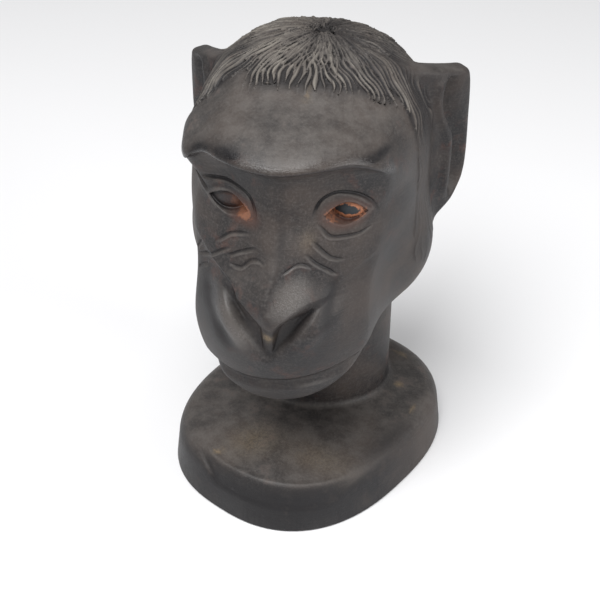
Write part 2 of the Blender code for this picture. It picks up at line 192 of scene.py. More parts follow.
@dataclass(frozen=True)
class Stroke:
    """A cut of the knife over the face, drawn as it is seen from the front.

    Args:
        path: the points of the cut, across and up.
        depth: how deep it is in the middle.
        width: half its width.
        lip: how far the wood below it stands up.
    """

    path: tuple[tuple[float, float], ...]
    depth: float = 0.65
    width: float = 0.38
    lip: float = 0.26

    def line(self) -> Array:
        """The path as a smooth line of short pieces."""
        ends = np.array([self.path[0], *self.path, self.path[-1]], float)
        pieces = []
        for one, two, three, four in zip(ends, ends[1:], ends[2:], ends[3:]):
            for t in (0.0, 0.25, 0.5, 0.75):
                bend = 2.0 * one - 5.0 * two + 4.0 * three - four
                turn = 3.0 * (two - three) + four - one
                pieces.append(0.5 * (2.0 * two + (three - one) * t + bend * t * t + turn * t ** 3))
        return np.array([*pieces, ends[-1]])

    def relief(self, across: Array, up: Array) -> Array:
        """How much wood the cut takes off.

        Args:
            across: the X of the points.
            up: their Z.

        Returns:
            The depth at each point, below zero where the lip stands up.
        """
        line = self.line()
        nearest = np.full(across.shape, 1e9)
        side = np.zeros(across.shape)
        run = np.zeros(across.shape)
        count = len(line) - 1
        for index in range(count):
            (ax, az), (bx, bz) = line[index], line[index + 1]
            dx, dz = bx - ax, bz - az
            long = max(dx * dx + dz * dz, 1e-9)
            t = np.clip(((across - ax) * dx + (up - az) * dz) / long, 0.0, 1.0)
            gap = np.hypot(across - ax - t * dx, up - az - t * dz)
            better = gap < nearest
            nearest = np.where(better, gap, nearest)
            below = np.sign(dx) * ((across - ax) * dz - (up - az) * dx) / math.sqrt(long)
            side = np.where(better, below, side)
            run = np.where(better, (index + t) / count, run)
        taper = fade(np.minimum(run, 1.0 - run), -0.02, 0.25)
        groove = self.depth * np.exp(-((nearest / self.width) ** 2))
        ridge = self.lip * np.exp(-(((side - 1.9 * self.width) / (1.2 * self.width)) ** 2))
        ridge = ridge * np.exp(-(((nearest - np.abs(side)) / self.width) ** 2))
        return (groove - ridge) * taper


@dataclass(frozen=True)
class Plinth:
    """The rounded oval plinth, with a side that leans in and a groove along its worn front rim."""

    length: float = 110.7
    width: float = 91.3
    height: float = 20.0
    swelling: float = 3.0
    rounding: float = 8.0
    lean: float = 0.12
    turn: float = math.radians(27.0)
    middle: tuple[float, float] = (1.3, 1.9)
    squareness: float = 2.46
    foot: float = 1.2
    groove_at: Places = (-40, -33, -26.7, -17.8, -3.2, 11.6, 19.0, 24.9, 31)
    groove: Places = (-27, -35.5, -41.6, -46.5, -50.4, -48.4, -44.5, -38.6, -31)
    groove_depth: float = 0.75
    groove_back: float = -0.6
    lip: float = 0.5
    lip_front: float = 2.4
    worn_reach: float = 1.5

    def field(self, points: Array) -> Array:
        """The distance from the plinth.

        Args:
            points: places in millimetres.

        Returns:
            The field at each of them.
        """
        x, y, z = points[..., 0] - self.middle[0], points[..., 1] - self.middle[1], points[..., 2]
        across = x * math.cos(self.turn) - y * math.sin(self.turn)
        along = x * math.sin(self.turn) + y * math.cos(self.turn)
        half = (0.5 * self.width, 0.5 * self.length)
        power = self.squareness
        share = (np.abs(across / half[0]) ** power + np.abs(along / half[1]) ** power) ** (1.0 / power)
        side = (share - 1.0) * 0.5 * (half[0] + half[1]) + self.lean * z
        top = z - self.height - self.swelling * fade(-share, -0.9, -0.3)
        off = points[..., 1] - curve(points[..., 0], self.groove_at, self.groove)
        worn = self.groove_depth * swell(off, self.groove_back, self.worn_reach)
        worn = worn - self.lip * swell(off, self.lip_front, self.worn_reach)
        worn = worn * fade(points[..., 0], -36.0, -26.0) * fade(-points[..., 0], -28.0, -16.0)
        worn = worn * fade(z, 9.0, 12.0)
        return common(common(side, top, self.rounding) + worn, -z, self.foot)


@dataclass(frozen=True)
class Neck:
    """The neck, an upright column from the plinth into the head."""

    width: float = 59.0
    depth: float = 50.0
    behind: float = 17.0
    low: float = 10.0
    high: float = 100.6

    def field(self, points: Array) -> Array:
        """The distance from the neck, at places in millimetres."""
        across = points[..., 0] / (0.5 * self.width)
        share = np.hypot(across, (points[..., 1] - self.behind) / (0.5 * self.depth))
        side = (share - 1.0) * 0.25 * (self.width + self.depth)
        return np.maximum(side, np.maximum(self.low - points[..., 2], points[..., 2] - self.high))


@dataclass(frozen=True)
class Dent:
    """A soft dent in the cheek that falls off across and up, or a swelling below zero."""

    depth: float
    across: float
    across_reach: float
    up: float
    up_reach: float

    def relief(self, across: Array, up: Array) -> Array:
        """How far the cheek goes back at each place."""
        return self.depth * swell(across, self.across, self.across_reach) * swell(up, self.up, self.up_reach)


@dataclass(frozen=True)
class Face:
    """The front of the head below the brow: cheeks, muzzle, the wedge of the nose and its slots.

    Each pair such as cheek_at and cheek is a smooth line through points: the heights, or distances from
    the midline, at which it is read, and its value there.

    Args:
        cheek: the Y of the cheeks on the midline.
        dents: what goes back or swells over the cheeks.
        wing: the swelling along the wing of the nose, measured from a line that slants.
        bend: how far the face has gone back at 30 mm from the midline, with bend_power its bend.
        ridge: the Y of the nose's ridge.
        half: half the nose's width.
        slope: how steeply the nose goes back beside its ridge.
        round_off: how broadly the ridge is rounded.
        bent: how far the ridge lies to the side.
        under: the height of the nose's underside.
        left_wing: how much narrower the nose is on its left.
        slot: the distance of the slots from the midline.
    """

    cheek_at: Places = (50, 56, 62, 68, 76, 84, 92, 100, 108, 116, 124, 132, 140, 147)
    cheek: Places = (-38, -44.5, -47.5, -49.5, -52.5, -53.8, -52.5, -49, -45.5, -42.5, -39, -37, -36.5, -38)
    dents: tuple[Dent, ...] = (
        Dent(1.6, 21.0, 9.0, 139.0, 5.0),
        Dent(-1.8, 15.0, 7.0, 117.0, 7.0),
        Dent(-4.0, 15.0, 8.0, 99.0, 10.0),
    )
    wing: Dent = Dent(-1.4, 3.6, 5.0, 94.5, 8.0)
    wing_from: float = 13.5
    wing_slant: float = 0.83
    bend_at: Places = (50, 68, 84, 100, 116, 132, 147)
    bend: Places = (17, 18, 18.5, 16, 12, 10.5, 11)
    bend_power: float = 2.2
    ridge_at: Places = (70, 86, 92, 96, 99.5, 105, 112, 121, 130, 140, 150)
    ridge: Places = (-40, -52.5, -54.5, -56.5, -58.8, -57.3, -53.2, -47.8, -43.2, -42, -43)
    half_at: Places = (84, 90, 96, 99, 102, 106, 111, 118, 150)
    half: Places = (1, 2.4, 4.0, 8, 15, 18, 23, 34, 60)
    slope_at: Places = (88, 104, 112, 121, 130, 140, 150)
    slope: Places = (0.5, 0.66, 0.78, 0.88, 0.92, 0.85, 0.7)
    round_at: Places = (98, 108, 114, 120, 126, 150)
    round_off: Places = (0.8, 0.9, 1.6, 4.5, 8.0, 9.0)
    bent_at: Places = (90, 99, 105.6, 112, 119, 130)
    bent: Places = (1.0, 2.0, -0.8, 0.3, 1.4, 1.0)
    under_at: Places = (0, 4, 7, 11, 17, 30)
    under: Places = (99.0, 100.6, 102.4, 104.2, 105.0, 105.0)
    left_wing: float = 6.0
    side_slope: float = 1.2
    under_slope: float = 1.1
    slot_at: Places = (80, 84, 88, 92.4, 96, 100, 104)
    slot: Places = (0.6, 2.6, 5.4, 8.9, 11.6, 14.6, 17.2)
    slot_depth: float = 1.9

    def depth(self, across: Array, up: Array) -> Array:
        """The Y of the face.

        Args:
            across: the place across, from the midline.
            up: the height.

        Returns:
            Its Y at each place.
        """
        side = np.abs(across)
        cheek = curve(up, self.cheek_at, self.cheek)
        cheek = cheek + curve(up, self.bend_at, self.bend) * (side / 30.0) ** self.bend_power
        for dent in self.dents:
            cheek = cheek + dent.relief(side, up)
        cheek = cheek + self.slots(side, up)
        slanted = side - self.wing_from + self.wing_slant * (self.wing.up - up)
        cheek = cheek + self.wing.relief(slanted, up)
        soft = curve(up, self.round_at, self.round_off)
        out = np.hypot(across - curve(up, self.bent_at, self.bent), soft) - soft
        nose = curve(up, self.ridge_at, self.ridge) + curve(up, self.slope_at, self.slope) * out
        half = curve(up, self.half_at, self.half)
        left = self.left_wing * fade(-across, 2.0, 5.0)
        half = half - left * fade(up, 97.0, 102.0) * fade(-up, -112.0, -106.0)
        nose = nose + self.side_slope * np.maximum(side - half, 0.0)
        below = np.maximum(curve(side, self.under_at, self.under) - up, 0.0)
        nose = nose + self.under_slope * below * fade(side, 1.5, 5.0)
        blend = 2.4 + 3.1 * fade(up, 106.0, 122.0) + 4.0 * fade(side, 16.0, 24.0)
        return join(cheek, nose, blend)

    def slots(self, side: Array, up: Array) -> Array:
        """Two slots that run down from the wings of the nose and meet over the lip.

        Args:
            side: the distance from the midline.
            up: the height.

        Returns:
            How far they go back from the face.
        """
        inward = curve(up, self.slot_at, self.slot) - side
        ends = fade(up, 80.5, 84.0) * fade(-up, -107.0, -101.0)
        floor = fade(inward, -1.2, 2.2) * (1.0 - 0.5 * fade(inward, 3.0, 8.0))
        slit = 0.9 * swell(inward, 2.4, 1.1) * swell(up, 98.0, 4.0)
        return (self.slot_depth * floor + slit) * ends


@dataclass(frozen=True)
class Brow:
    """The heavy brow: its edge from temple to temple, over a hollow that slopes back."""

    across: Places = (-46, -38, -34, -30, -26, -20, -8, 0, 8, 16, 22, 29, 35, 44)
    height: Places = (138, 141.5, 143, 146, 148.3, 149.2, 149.2, 149.2, 150.2, 151, 150.8, 146.5, 139.5, 134)
    proud: float = 0.9
    point: float = 3.6
    point_place: tuple[float, float] = (-36.0, 144.0)
    point_reach: tuple[float, float] = (6.0, 8.5)
    under: Dent = Dent(1.3, -35.0, 6.0, 131.0, 4.5)
    rounding: float = 1.2
    slant: float = 0.35
    front_at: Places = (-46, -38, -30, -20, -8, 0, 8, 20, 30, 38, 46)
    front: Places = (-8, -18, -31, -42, -47, -48, -47, -42, -31, -18, -8)

    def roll(self, x: Array, y: Array, z: Array) -> Array:
        """How far the brow swells just above its edge."""
        up = z - curve(x, self.across, self.height)
        return self.proud * swell(up, 2.0, 4.0) * fade(-y, 20.0, 34.0)

    def temple(self, x: Array, y: Array, z: Array) -> Array:
        """The point of the brow at the left temple, and the hollow under it.

        Args:
            x, y, z: places across, to the back and up.

        Returns:
            How far it stands proud, below zero in the hollow.
        """
        (at, high), (wide, tall) = self.point_place, self.point_reach
        point = self.point * swell(x, at, wide) * swell(np.maximum(z - high, 0.0), 0.0, tall)
        point = point * fade(z, 130.0, high)
        return (point - self.under.relief(x, z)) * fade(-y, 4.0, 16.0)

    def hollow(self, x: Array, y: Array, z: Array, depth: Array) -> Array:
        """What is cut away below the brow.

        Args:
            x, y, z: places across, to the back and up.
            depth: the Y of the face.

        Returns:
            The field of the hollow.
        """
        back = np.clip(y - curve(x, self.front_at, self.front), -3.0, 9.0)
        ceiling = curve(x, self.across, self.height) - self.slant * back
        return common(z - ceiling, (y - depth) * 0.8, 4.0)


@dataclass(frozen=True)
class Eye:
    """A round eyeball behind swollen lids with an almond opening."""

    centre: Point = (20.3, -22.6, 130.6)
    ball: float = 9.6
    lid: float = 0.7
    half: float = 6.3
    rise: float = 3.6
    drop: float = 3.6

    def ball_field(self, points: Array) -> Array:
        """The distance from the eyeball."""
        return np.linalg.norm(points - np.array(self.centre), axis=-1) - self.ball

    def carve(self, points: Array, body: Array) -> Array:
        """Puts the eye into the head.

        Args:
            points: places in millimetres.
            body: the head's field.

        Returns:
            The field with the lids and the opening.
        """
        ball = self.ball_field(points)
        body = join(body, ball - self.lid, 2.0)
        across = (points[..., 0] - self.centre[0]) / self.half
        upper = points[..., 2] - self.centre[2] - self.rise * (1.0 - across ** 2)
        lower = self.centre[2] - self.drop * (1.0 - across ** 2) - points[..., 2]
        opening = np.maximum(np.maximum(upper, lower), points[..., 1] - self.centre[1] - 4.0)
        return cut(body, np.maximum(opening, -ball), 0.6)


@dataclass(frozen=True)
class Mouth:
    """The thin seam between the lips, with the lower lip set back under it."""

    height: float = 70.3
    rise: float = 0.12
    curl: float = 0.003
    depth: float = 1.9
    width: float = 0.9
    half: float = 31.0
    set_back: float = 1.5

    def above(self, x: Array, z: Array) -> Array:
        """The height over the seam."""
        return z - (self.height + self.rise * x + self.curl * x * x)

    def ends(self, x: Array, y: Array) -> Array:
        """1 along the mouth, falling to 0 at its corners and behind them."""
        return fade(self.half - np.abs(x), 0.0, 6.0) * fade(-y, 18.0, 24.0)

    def seam(self, x: Array, y: Array, z: Array) -> Array:
        """1 on the line of the seam, falling to 0."""
        return swell(self.above(x, z), 0.0, self.width) * self.ends(x, y)

    def relief(self, x: Array, y: Array, z: Array) -> Array:
        """How deep the seam is cut and how far the lower lip lies back, at each place."""
        off = self.above(x, z)
        step = self.set_back * fade(-off, 0.0, 0.9) * fade(off, -6.5, -1.5)
        return self.depth * self.seam(x, y, z) + step * self.ends(x, y)


@dataclass(frozen=True)
class Ear:
    """An upright leaf that runs out and back, cupped on its front side."""

    foot: Point = (36.0, 19.0, 129.0)
    outward: tuple[float, float] = (0.74, 0.67)
    top: float = 25.5
    top_slope: float = 0.24
    low: float = 35.0
    edge_at: Places = (-36, -31, -27, -24, -20.5, -16, -10, -2.5, 5, 12, 19, 24, 28, 31)
    edge: Places = (-1, 5, 10.2, 13.4, 15.8, 17.0, 17.4, 17.3, 17.0, 16.8, 16.2, 15.0, 12.5, 8)
    thickness: float = 8.6
    rim_at: Places = (-40, -17, -6, 1, 6, 11.4, 16, 21.5, 26.7, 32)
    rim: Places = (7.0, 7.7, 7.9, 7.4, 5.2, 3.0, 2.5, 3.3, 6.9, 12.0)
    dish: float = 3.8
    raised: float = 1.2
    bow: float = 0.010
    bow_middle: float = 4.0

    def dent(self, along: Array, up: Array) -> Array:
        """How far the front of the ear is hollowed, below zero on its raised rim."""
        inward = along - curve(up, self.rim_at, self.rim)
        hollow = self.dish * fade(inward, -0.6, 1.8) * (1.0 - 0.8 * fade(inward, 1.5, 9.0))
        ends = fade(up, -27.0, -17.0) * fade(-up, -24.5, -20.0)
        return (hollow - self.raised * swell(inward, -1.8, 1.8)) * ends

    def field(self, points: Array) -> Array:
        """The distance from the ear on the +X side.

        Args:
            points: places in millimetres, mirrored to that side.

        Returns:
            The field at each of them.
        """
        out = np.array([self.outward[0], self.outward[1], 0.0])
        front = np.array([self.outward[1], -self.outward[0], 0.0])
        offset = points - np.array(self.foot)
        along, ahead, up = offset @ out, offset @ front, offset[..., 2]
        ahead = ahead + self.bow * (along - self.bow_middle) ** 2
        rim = along - curve(up, self.edge_at, self.edge)
        edge = common(rim, up - self.top + self.top_slope * (along - 6.0), 3.0)
        half = 0.5 * self.thickness
        slab = common(ahead - half + self.dent(along, up), -ahead - half, 3.0)
        return common(np.maximum(edge, -up - self.low), slab, 3.2)


@dataclass(frozen=True)
class Layer:
    """One layer of locks.

    Args:
        count: how many go round the head.
        start: the path from the crown at which they begin.
        end: the path at which they end, if the hairline doesn't come first.
        height: how far they stand up.
        base: how far the layer itself stands up below them.
        seed: what its random draws start from.
        wave: how far they wave.
        spread: how long their points are.
    """

    count: int
    start: float
    end: float
    height: float
    base: float
    seed: int
    wave: float = 0.28
    spread: float = 4.0


@dataclass(frozen=True)
class Hair:
    """Cropped hair: pointed locks in three layers that spread from the crown.

    Args:
        middle: the middle of the skull, from which the ways round and down are measured.
        crown: where the hair parts.
        radius: the skull's radius, which makes the path of an angle.
        line_at: the angles round the crown, in degrees, with 0 at the front.
        line: the path of the hairline at each of them.
        lowest: the height below which there is no hair.
        cap: how far the hair stands up between the locks.
        nape: the path over which the hair gets shorter.
        clump: how many locks share one height and tone.
        ripple: how fast a lock sways on its way down.
        uneven: how unevenly locks end, at the hairline and at the layer's end.
        breadths: the share of its room that the narrowest lock fills, and how much more the broadest.
        split: how deep the furrows between the strands of a lock are.
        strands: how closely those furrows lie.
        bends: the waves that all locks share: size, waves down, waves round, and shift by seed.
        layers: the layers of locks, from the longest.
    """

    middle: Point = (0.0, 9.0, 128.0)
    crown: Point = (2.5, 14.0, 170.5)
    radius: float = 42.0
    line_at: Places = (
        -180, -110, -84, -75, -68, -53, -49, -31, -14, 0, 22, 43, 52, 62, 67, 71, 78, 92, 110, 180,
    )
    line: Places = (70, 74, 88, 88, 66, 43.5, 36, 36.5, 34, 32.5, 33, 36, 38.5, 41, 60, 88, 93, 90, 74, 70)
    lowest: float = 84.0
    cap: float = 0.12
    nape: tuple[float, float] = (42.0, 58.0)
    clump: int = 3
    ripple: float = 0.42
    uneven: tuple[float, float] = (4.6, 11.0)
    breadths: tuple[float, float] = (0.62, 0.34)
    split: float = 0.30
    strands: float = 9.4
    bends: tuple[tuple[float, float, float, float], ...] = (
        (0.055, 0.16, 2.0, 1.0),
        (0.035, 0.33, -5.0, 2.0),
        (0.012, 0.62, 11.0, 3.0),
    )
    layers: tuple[Layer, ...] = (
        Layer(92, 5.0, 99.0, 1.1, 0.0, 11, 0.6, 6.0),
        Layer(66, 2.5, 28.0, 1.0, 0.35, 3, 0.6, 9.0),
        Layer(44, 0.5, 19.0, 0.9, 0.6, 29, 0.5, 8.0),
    )

    def polar(self, points: Array) -> tuple[Array, Array]:
        """The way round the crown and the path from it.

        Args:
            points: places in millimetres.

        Returns:
            The angle in radians, 0 at the front, and the path in millimetres.
        """
        axis = np.array(self.crown) - np.array(self.middle)
        axis = axis / np.linalg.norm(axis)
        front = np.array([0.0, -1.0, 0.0])
        front = front - axis * (front @ axis)
        front = front / np.linalg.norm(front)
        right = np.cross(front, axis)
        right = right if right[0] > 0.0 else -right
        offset = points - np.array(self.middle)
        far = np.maximum(np.linalg.norm(offset, axis=-1), 1e-6)
        path = np.arccos(np.clip(offset @ axis / far, -1.0, 1.0)) * self.radius
        return np.arctan2(offset @ right, offset @ front), path

    def hairline(self, around: Array) -> Array:
        """How far the hair reaches from the crown at each angle, in millimetres."""
        return curve(np.degrees(around), self.line_at, self.line)

    def cover(self, points: Array) -> Array:
        """1 where hair covers the skull, less at the nape, and 0 on bare skin."""
        around, path = self.polar(points)
        share = fade(self.hairline(around) - path, -1.0, 3.5) * (points[:, 2] > self.lowest)
        return share * (1.0 - 0.7 * fade(path, *self.nape))

    def lock_layer(self, layer: Layer, around: Array, path: Array, line: Array) -> tuple[Array, Array]:
        """The relief of one layer.

        Args:
            layer: its values.
            around: the angle round the crown.
            path: the path from the crown.
            line: the hairline's path at that angle.

        Returns:
            How far the locks of the layer stand up, and the painted highlight on them.
        """
        draw = np.random.default_rng(layer.seed)
        values = draw.random((7, layer.count))
        bend = np.zeros(around.shape)
        for size, down, round_about, shift in self.bends:
            bend = bend + size * np.sin(down * path + round_about * around + shift * layer.seed)
        place = (around + bend) * layer.count / (2.0 * math.pi)
        within = place - np.floor(place)
        cell = np.floor(place).astype(int) % layer.count
        sway, phase, reach, breadth, taper, late, light = (row[cell] for row in values)
        clump = values[3][(cell // self.clump) % layer.count]
        wave = layer.wave * (sway - 0.5) * np.sin(self.ripple * path + 6.28 * phase)
        at_line, at_end = self.uneven
        tip = np.minimum(line + at_line * (reach - 0.45), layer.end + at_end * (reach - 0.5))
        rest = tip - path
        narrow, broad = self.breadths
        width = 0.5 * (narrow + broad * breadth) * fade(rest, 0.0, layer.spread + 4.0 * taper)
        width = width * fade(path - layer.start - 4.0 * late, -3.0, 3.0)
        off = np.abs(within - 0.5 - wave * 0.5) / np.maximum(width, 1e-3)
        there = np.clip(1.0 - off ** 2, 0.0, 1.0) * (width > 0.02)
        split = 1.0 - self.split * (0.5 + 0.5 * np.cos(self.strands * within + 6.0 * phase + 0.1 * path))
        height = layer.base * fade(there, 0.0, 0.35) + layer.height * np.sqrt(there) * split
        height = height * fade(rest, -0.5, 1.5)
        # Painted highlight along the middle of each lock and on its strands, with a random tone for each lock
        # and clump; it is weaker near the crown and towards +X.
        tone = there * split * (0.50 + 0.62 * light) * (0.66 + 0.46 * clump)
        tone = tone * (0.45 + 0.55 * fade(path, 4.0, 20.0)) * (1.0 - 0.45 * fade(around, 0.35, 0.95))
        height = height * (0.6 + 0.45 * light + 0.25 * clump)
        return height * (1.0 - 0.75 * fade(path, 42.0, 56.0)), tone

    def relief(self, points: Array) -> tuple[Array, Array]:
        """How far the hair stands over the skull.

        Args:
            points: places in millimetres.

        Returns:
            The height, and the painted highlight of the lock there, from 0 between the locks.
        """
        height = np.zeros(points.shape[:-1])
        mask = np.zeros(points.shape[:-1])
        near = points[..., 2] > self.lowest
        around, path = self.polar(points[near])
        line = self.hairline(around)
        stand = np.zeros(around.shape)
        locks = np.zeros(around.shape)
        for layer in self.layers:
            up, there = self.lock_layer(layer, around, path, line)
            locks = np.where(up > stand, there, locks)
            stand = np.maximum(stand, up)
        cap = self.cap * fade(line - path, 1.0, 9.0)
        height[near] = np.maximum(stand, cap)
        mask[near] = locks * fade(line - path, -1.5, 1.0) * (1.0 - 0.6 * fade(path, *self.nape))
        return height, mask


@dataclass(frozen=True)
class Head:
    """The head with everything that is carved into it.

    Args:
        skull: the mass that the others are joined to.
        masses: the face, the jaw, the forehead and the muzzle, each with the width of its blend.
        lean_from: the height below which the midline of the face leans to the side.
        lean: how far it leans, for each millimetre down.
        lean_depth: how far to the front the lean comes in.
        right_ear: how much further out and higher the right ear is.
        face: the front below the brow.
        brow: the brow.
        eyes: the right eye and the left.
        mouth: the mouth.
        ear: the ear, on either side.
        hair: the hair.
        strokes: the creases over the face.
        crease_shade: how dark the painted shade in a crease is, and after it that in the mouth, the slots and
            under the brow.
        darkest: the darkest that any of them gets.
    """

    skull: Mass = Mass((0.0, 9.0, 128.0), (40.5, 43.0, 41.4), 0.0, 2.35)
    masses: tuple[tuple[Mass, float], ...] = (
        (Mass((0.0, -12.0, 112.0), (32.0, 37.0, 38.0), 54.0), 12.0),
        (Mass((0.0, 8.0, 96.0), (44.0, 33.0, 34.5)), 10.0),
        (Mass((0.0, -8.0, 141.0), (34.6, 41.0, 20.5), 0.0, 2.2), 5.0),
        (Mass((0.0, -20.0, 84.5), (31.8, 35.0, 31.5), 48.0), 9.0),
    )
    lean_from: float = 140.0
    lean: float = 0.033
    lean_depth: float = 25.0
    right_ear: tuple[float, float] = (2.4, 2.4)
    face: Face = Face()
    brow: Brow = Brow()
    eyes: tuple[Eye, ...] = (Eye(), Eye((-18.2, -23.2, 129.8), 9.6, 0.7, 7.4, 3.4, 3.6))
    mouth: Mouth = Mouth()
    ear: Ear = Ear()
    hair: Hair = Hair()
    crease_shade: float = 1.3
    mouth_shade: float = 1.1
    slot_shade: float = 0.38
    brow_shade: float = 0.8
    darkest: float = 0.9
    strokes: tuple[Stroke, ...] = (
        Stroke(((-22.2, 115.9), (-19.5, 118.4), (-16.4, 120.9), (-12.6, 122.4), (-8.4, 123.6))),
        Stroke(((-29.5, 107.0), (-26.3, 109.1), (-22.7, 111.8), (-18.6, 115.0), (-15.5, 117.2))),
        Stroke(((-16.9, 113.9), (-13.9, 115.9), (-10.1, 118.0), (-5.6, 120.4))),
        Stroke(
            ((-16.2, 112.0), (-13.5, 112.1), (-10.9, 112.8), (-8.2, 115.6), (-5.2, 117.0), (-2.4, 116.6))
        ),
        Stroke(((-29.8, 108.5), (-28.8, 110.8), (-27.6, 113.2)), 0.6),
        Stroke(((-28.7, 102.5), (-26.4, 105.3), (-24.0, 107.4)), 0.6),
        Stroke(((9.4, 120.2), (12.9, 116.6), (16.6, 113.8), (19.9, 111.1)), 0.7),
        Stroke(((3.2, 114.8), (4.9, 115.9), (7.2, 117.1), (9.5, 116.7), (12.4, 114.6)), 0.6),
        Stroke(
            ((11.8, 129.0), (14.4, 126.0), (16.6, 124.0), (20.9, 123.5), (25.6, 123.8), (29.0, 125.8)), 0.7
        ),
        Stroke(
            ((10.8, 124.0), (12.5, 122.2), (14.7, 119.9), (17.2, 117.7), (19.5, 116.7), (22.1, 116.1)), 0.65
        ),
        Stroke(
            (
                (10.6, 129.8), (11.0, 133.0), (12.7, 136.6), (16.4, 138.3), (20.6, 137.6), (24.7, 135.8),
                (28.2, 132.6), (30.0, 127.7),
            ),
            0.9, 0.5, 0.2,
        ),
        Stroke(
            (
                (-29.4, 134.3), (-26.6, 135.2), (-20.7, 137.0), (-15.5, 136.8), (-10.5, 135.2), (-8.1, 131.0),
                (-7.5, 127.5),
            ),
            0.9, 0.5, 0.2,
        ),
        Stroke(((-33.0, 135.2), (-30.7, 133.3), (-28.3, 131.8), (-25.8, 131.2)), 0.6, 0.5, 0.3),
        Stroke(
            ((-25.7, 102.9), (-22.8, 100.4), (-21.4, 96.7), (-19.0, 93.1), (-15.7, 87.3), (-11.3, 82.2)),
            1.5, 3.0, 0.0,
        ),
        Stroke(((19.2, 111.0), (18.4, 107.5), (18.1, 100.7), (18.3, 93.4), (16.9, 86.6)), 0.7, 2.2, 0.0),
    )

    def block(self, points: Array) -> Array:
        """The field of the head before its carving, at places mirrored to one side."""
        body = self.skull.field(points)
        for mass, blend in self.masses:
            body = join(body, mass.field(points), blend)
        return body

    def creases(self, x: Array, y: Array, z: Array) -> Array:
        """The cuts over the face.

        Args:
            x, y, z: places across, to the back and up.

        Returns:
            How much wood they take off.
        """
        total = np.zeros(x.shape)
        for stroke in self.strokes:
            line = stroke.line()
            room = 4.0
            near = (np.abs(x - line[:, 0].mean()) < np.ptp(line[:, 0]) * 0.5 + room) & (y < -10.0)
            near &= np.abs(z - line[:, 1].mean()) < np.ptp(line[:, 1]) * 0.5 + room + 2.0
            total[near] += stroke.relief(x[near], z[near])
        return total

    def leaned(self, points: Array) -> Array:
        """The X of points, measured from the leaning midline of the face."""
        drift = np.maximum(self.lean_from - points[..., 2], 0.0) * fade(-points[..., 1], 0.0, self.lean_depth)
        return points[..., 0] + self.lean * drift

    def cuts(self, points: Array) -> Array:
        """Painted shade in the creases, the seam of the mouth and the slots, and under the brow's edge, for
        the finish.

        Args:
            points: places in millimetres.

        Returns:
            1 where the painted shade is deepest, in the bottom of a cut, and 0 beside it.
        """
        x, y, z = self.leaned(points), points[..., 1], points[..., 2]
        head = (z > 55.0) & (y < 0.0)
        depth = np.zeros(x.shape)
        # Painted shade in the creases, the seam of the mouth and the slots.
        depth[head] = self.crease_shade * self.creases(x[head], y[head], z[head])
        depth[head] += self.mouth_shade * self.mouth.seam(x[head], y[head], z[head])
        slots = self.face.slots(np.abs(x[head]), z[head])
        depth[head] += self.slot_shade * slots * fade(-y[head], 30.0, 38.0)
        under = z - curve(x, self.brow.across, self.brow.height)
        # Painted shade just under the edge of the brow.
        depth += self.brow_shade * swell(under, -1.0, 0.9) * fade(-y, 18.0, 28.0)
        return np.clip(depth, 0.0, self.darkest)

    def plainness(self, points: Array) -> Array:
        """Where the skin may be thinned.

        Args:
            points: places in millimetres.

        Returns:
            0 on the creases, the lids and the seam of the mouth, and 1 elsewhere.
        """
        x, y, z = self.leaned(points), points[..., 1], points[..., 2]
        front = (z > 60.0) & (y < -15.0)
        busy = np.zeros(x.shape, bool)
        busy[front] = np.abs(self.creases(x[front], y[front], z[front])) > 0.012
        busy[front] |= self.mouth.seam(x[front], y[front], z[front]) > 0.02
        for eye in self.eyes:
            off = (x - eye.centre[0]) / (eye.half + 2.0), (z - eye.centre[2]) / (eye.rise + 2.0)
            busy |= front & (np.hypot(*off) < 1.0)
        return 1.0 - busy

    def lips(self, points: Array) -> tuple[Array, Array]:
        """Where the wood stands up beside a cut, which the finish lightens as a painted highlight, and where
        the edge of the brow is polished.

        Args:
            points: places in millimetres.

        Returns:
            The share of the raised wood, for the painted highlight, and that of the polished brow.
        """
        x, y, z = self.leaned(points), points[..., 1], points[..., 2]
        head = (z > 55.0) & (y < -8.0)
        up = np.zeros(x.shape)
        up[head] = np.clip(-3.0 * self.creases(x[head], y[head], z[head]), 0.0, 1.0)
        off = z - curve(x, self.brow.across, self.brow.height)
        return up, swell(off, 0.9, 1.6) * fade(-y, 18.0, 28.0)

    def field(self, points: Array) -> Array:
        """The distance from the carved head.

        Args:
            points: places in millimetres.

        Returns:
            The field at each of them.
        """
        y, z = points[..., 1], points[..., 2]
        x = self.leaned(points)
        leaned = np.stack([np.abs(x), y, z], -1)
        depth = self.face.depth(x, z)
        body = self.block(leaned) - self.hair.relief(points)[0] - self.brow.roll(x, y, z)
        body = cut(body, self.brow.hollow(x, y, z, depth), self.brow.rounding) - self.brow.temple(x, y, z)
        for eye in self.eyes:
            body = eye.carve(np.stack([x, y, z], -1), body)
        body = body + self.mouth.relief(x, y, z) + self.creases(x, y, z)
        return join(body, self.ears(points), 3.0)

    def ears(self, points: Array) -> Array:
        """The distance from the nearer ear, at places in millimetres."""
        right = points[..., 0] > 0.0
        across = np.abs(points[..., 0]) - self.right_ear[0] * right
        up = points[..., 2] - self.right_ear[1] * right
        return self.ear.field(np.stack([across, points[..., 1], up], -1))


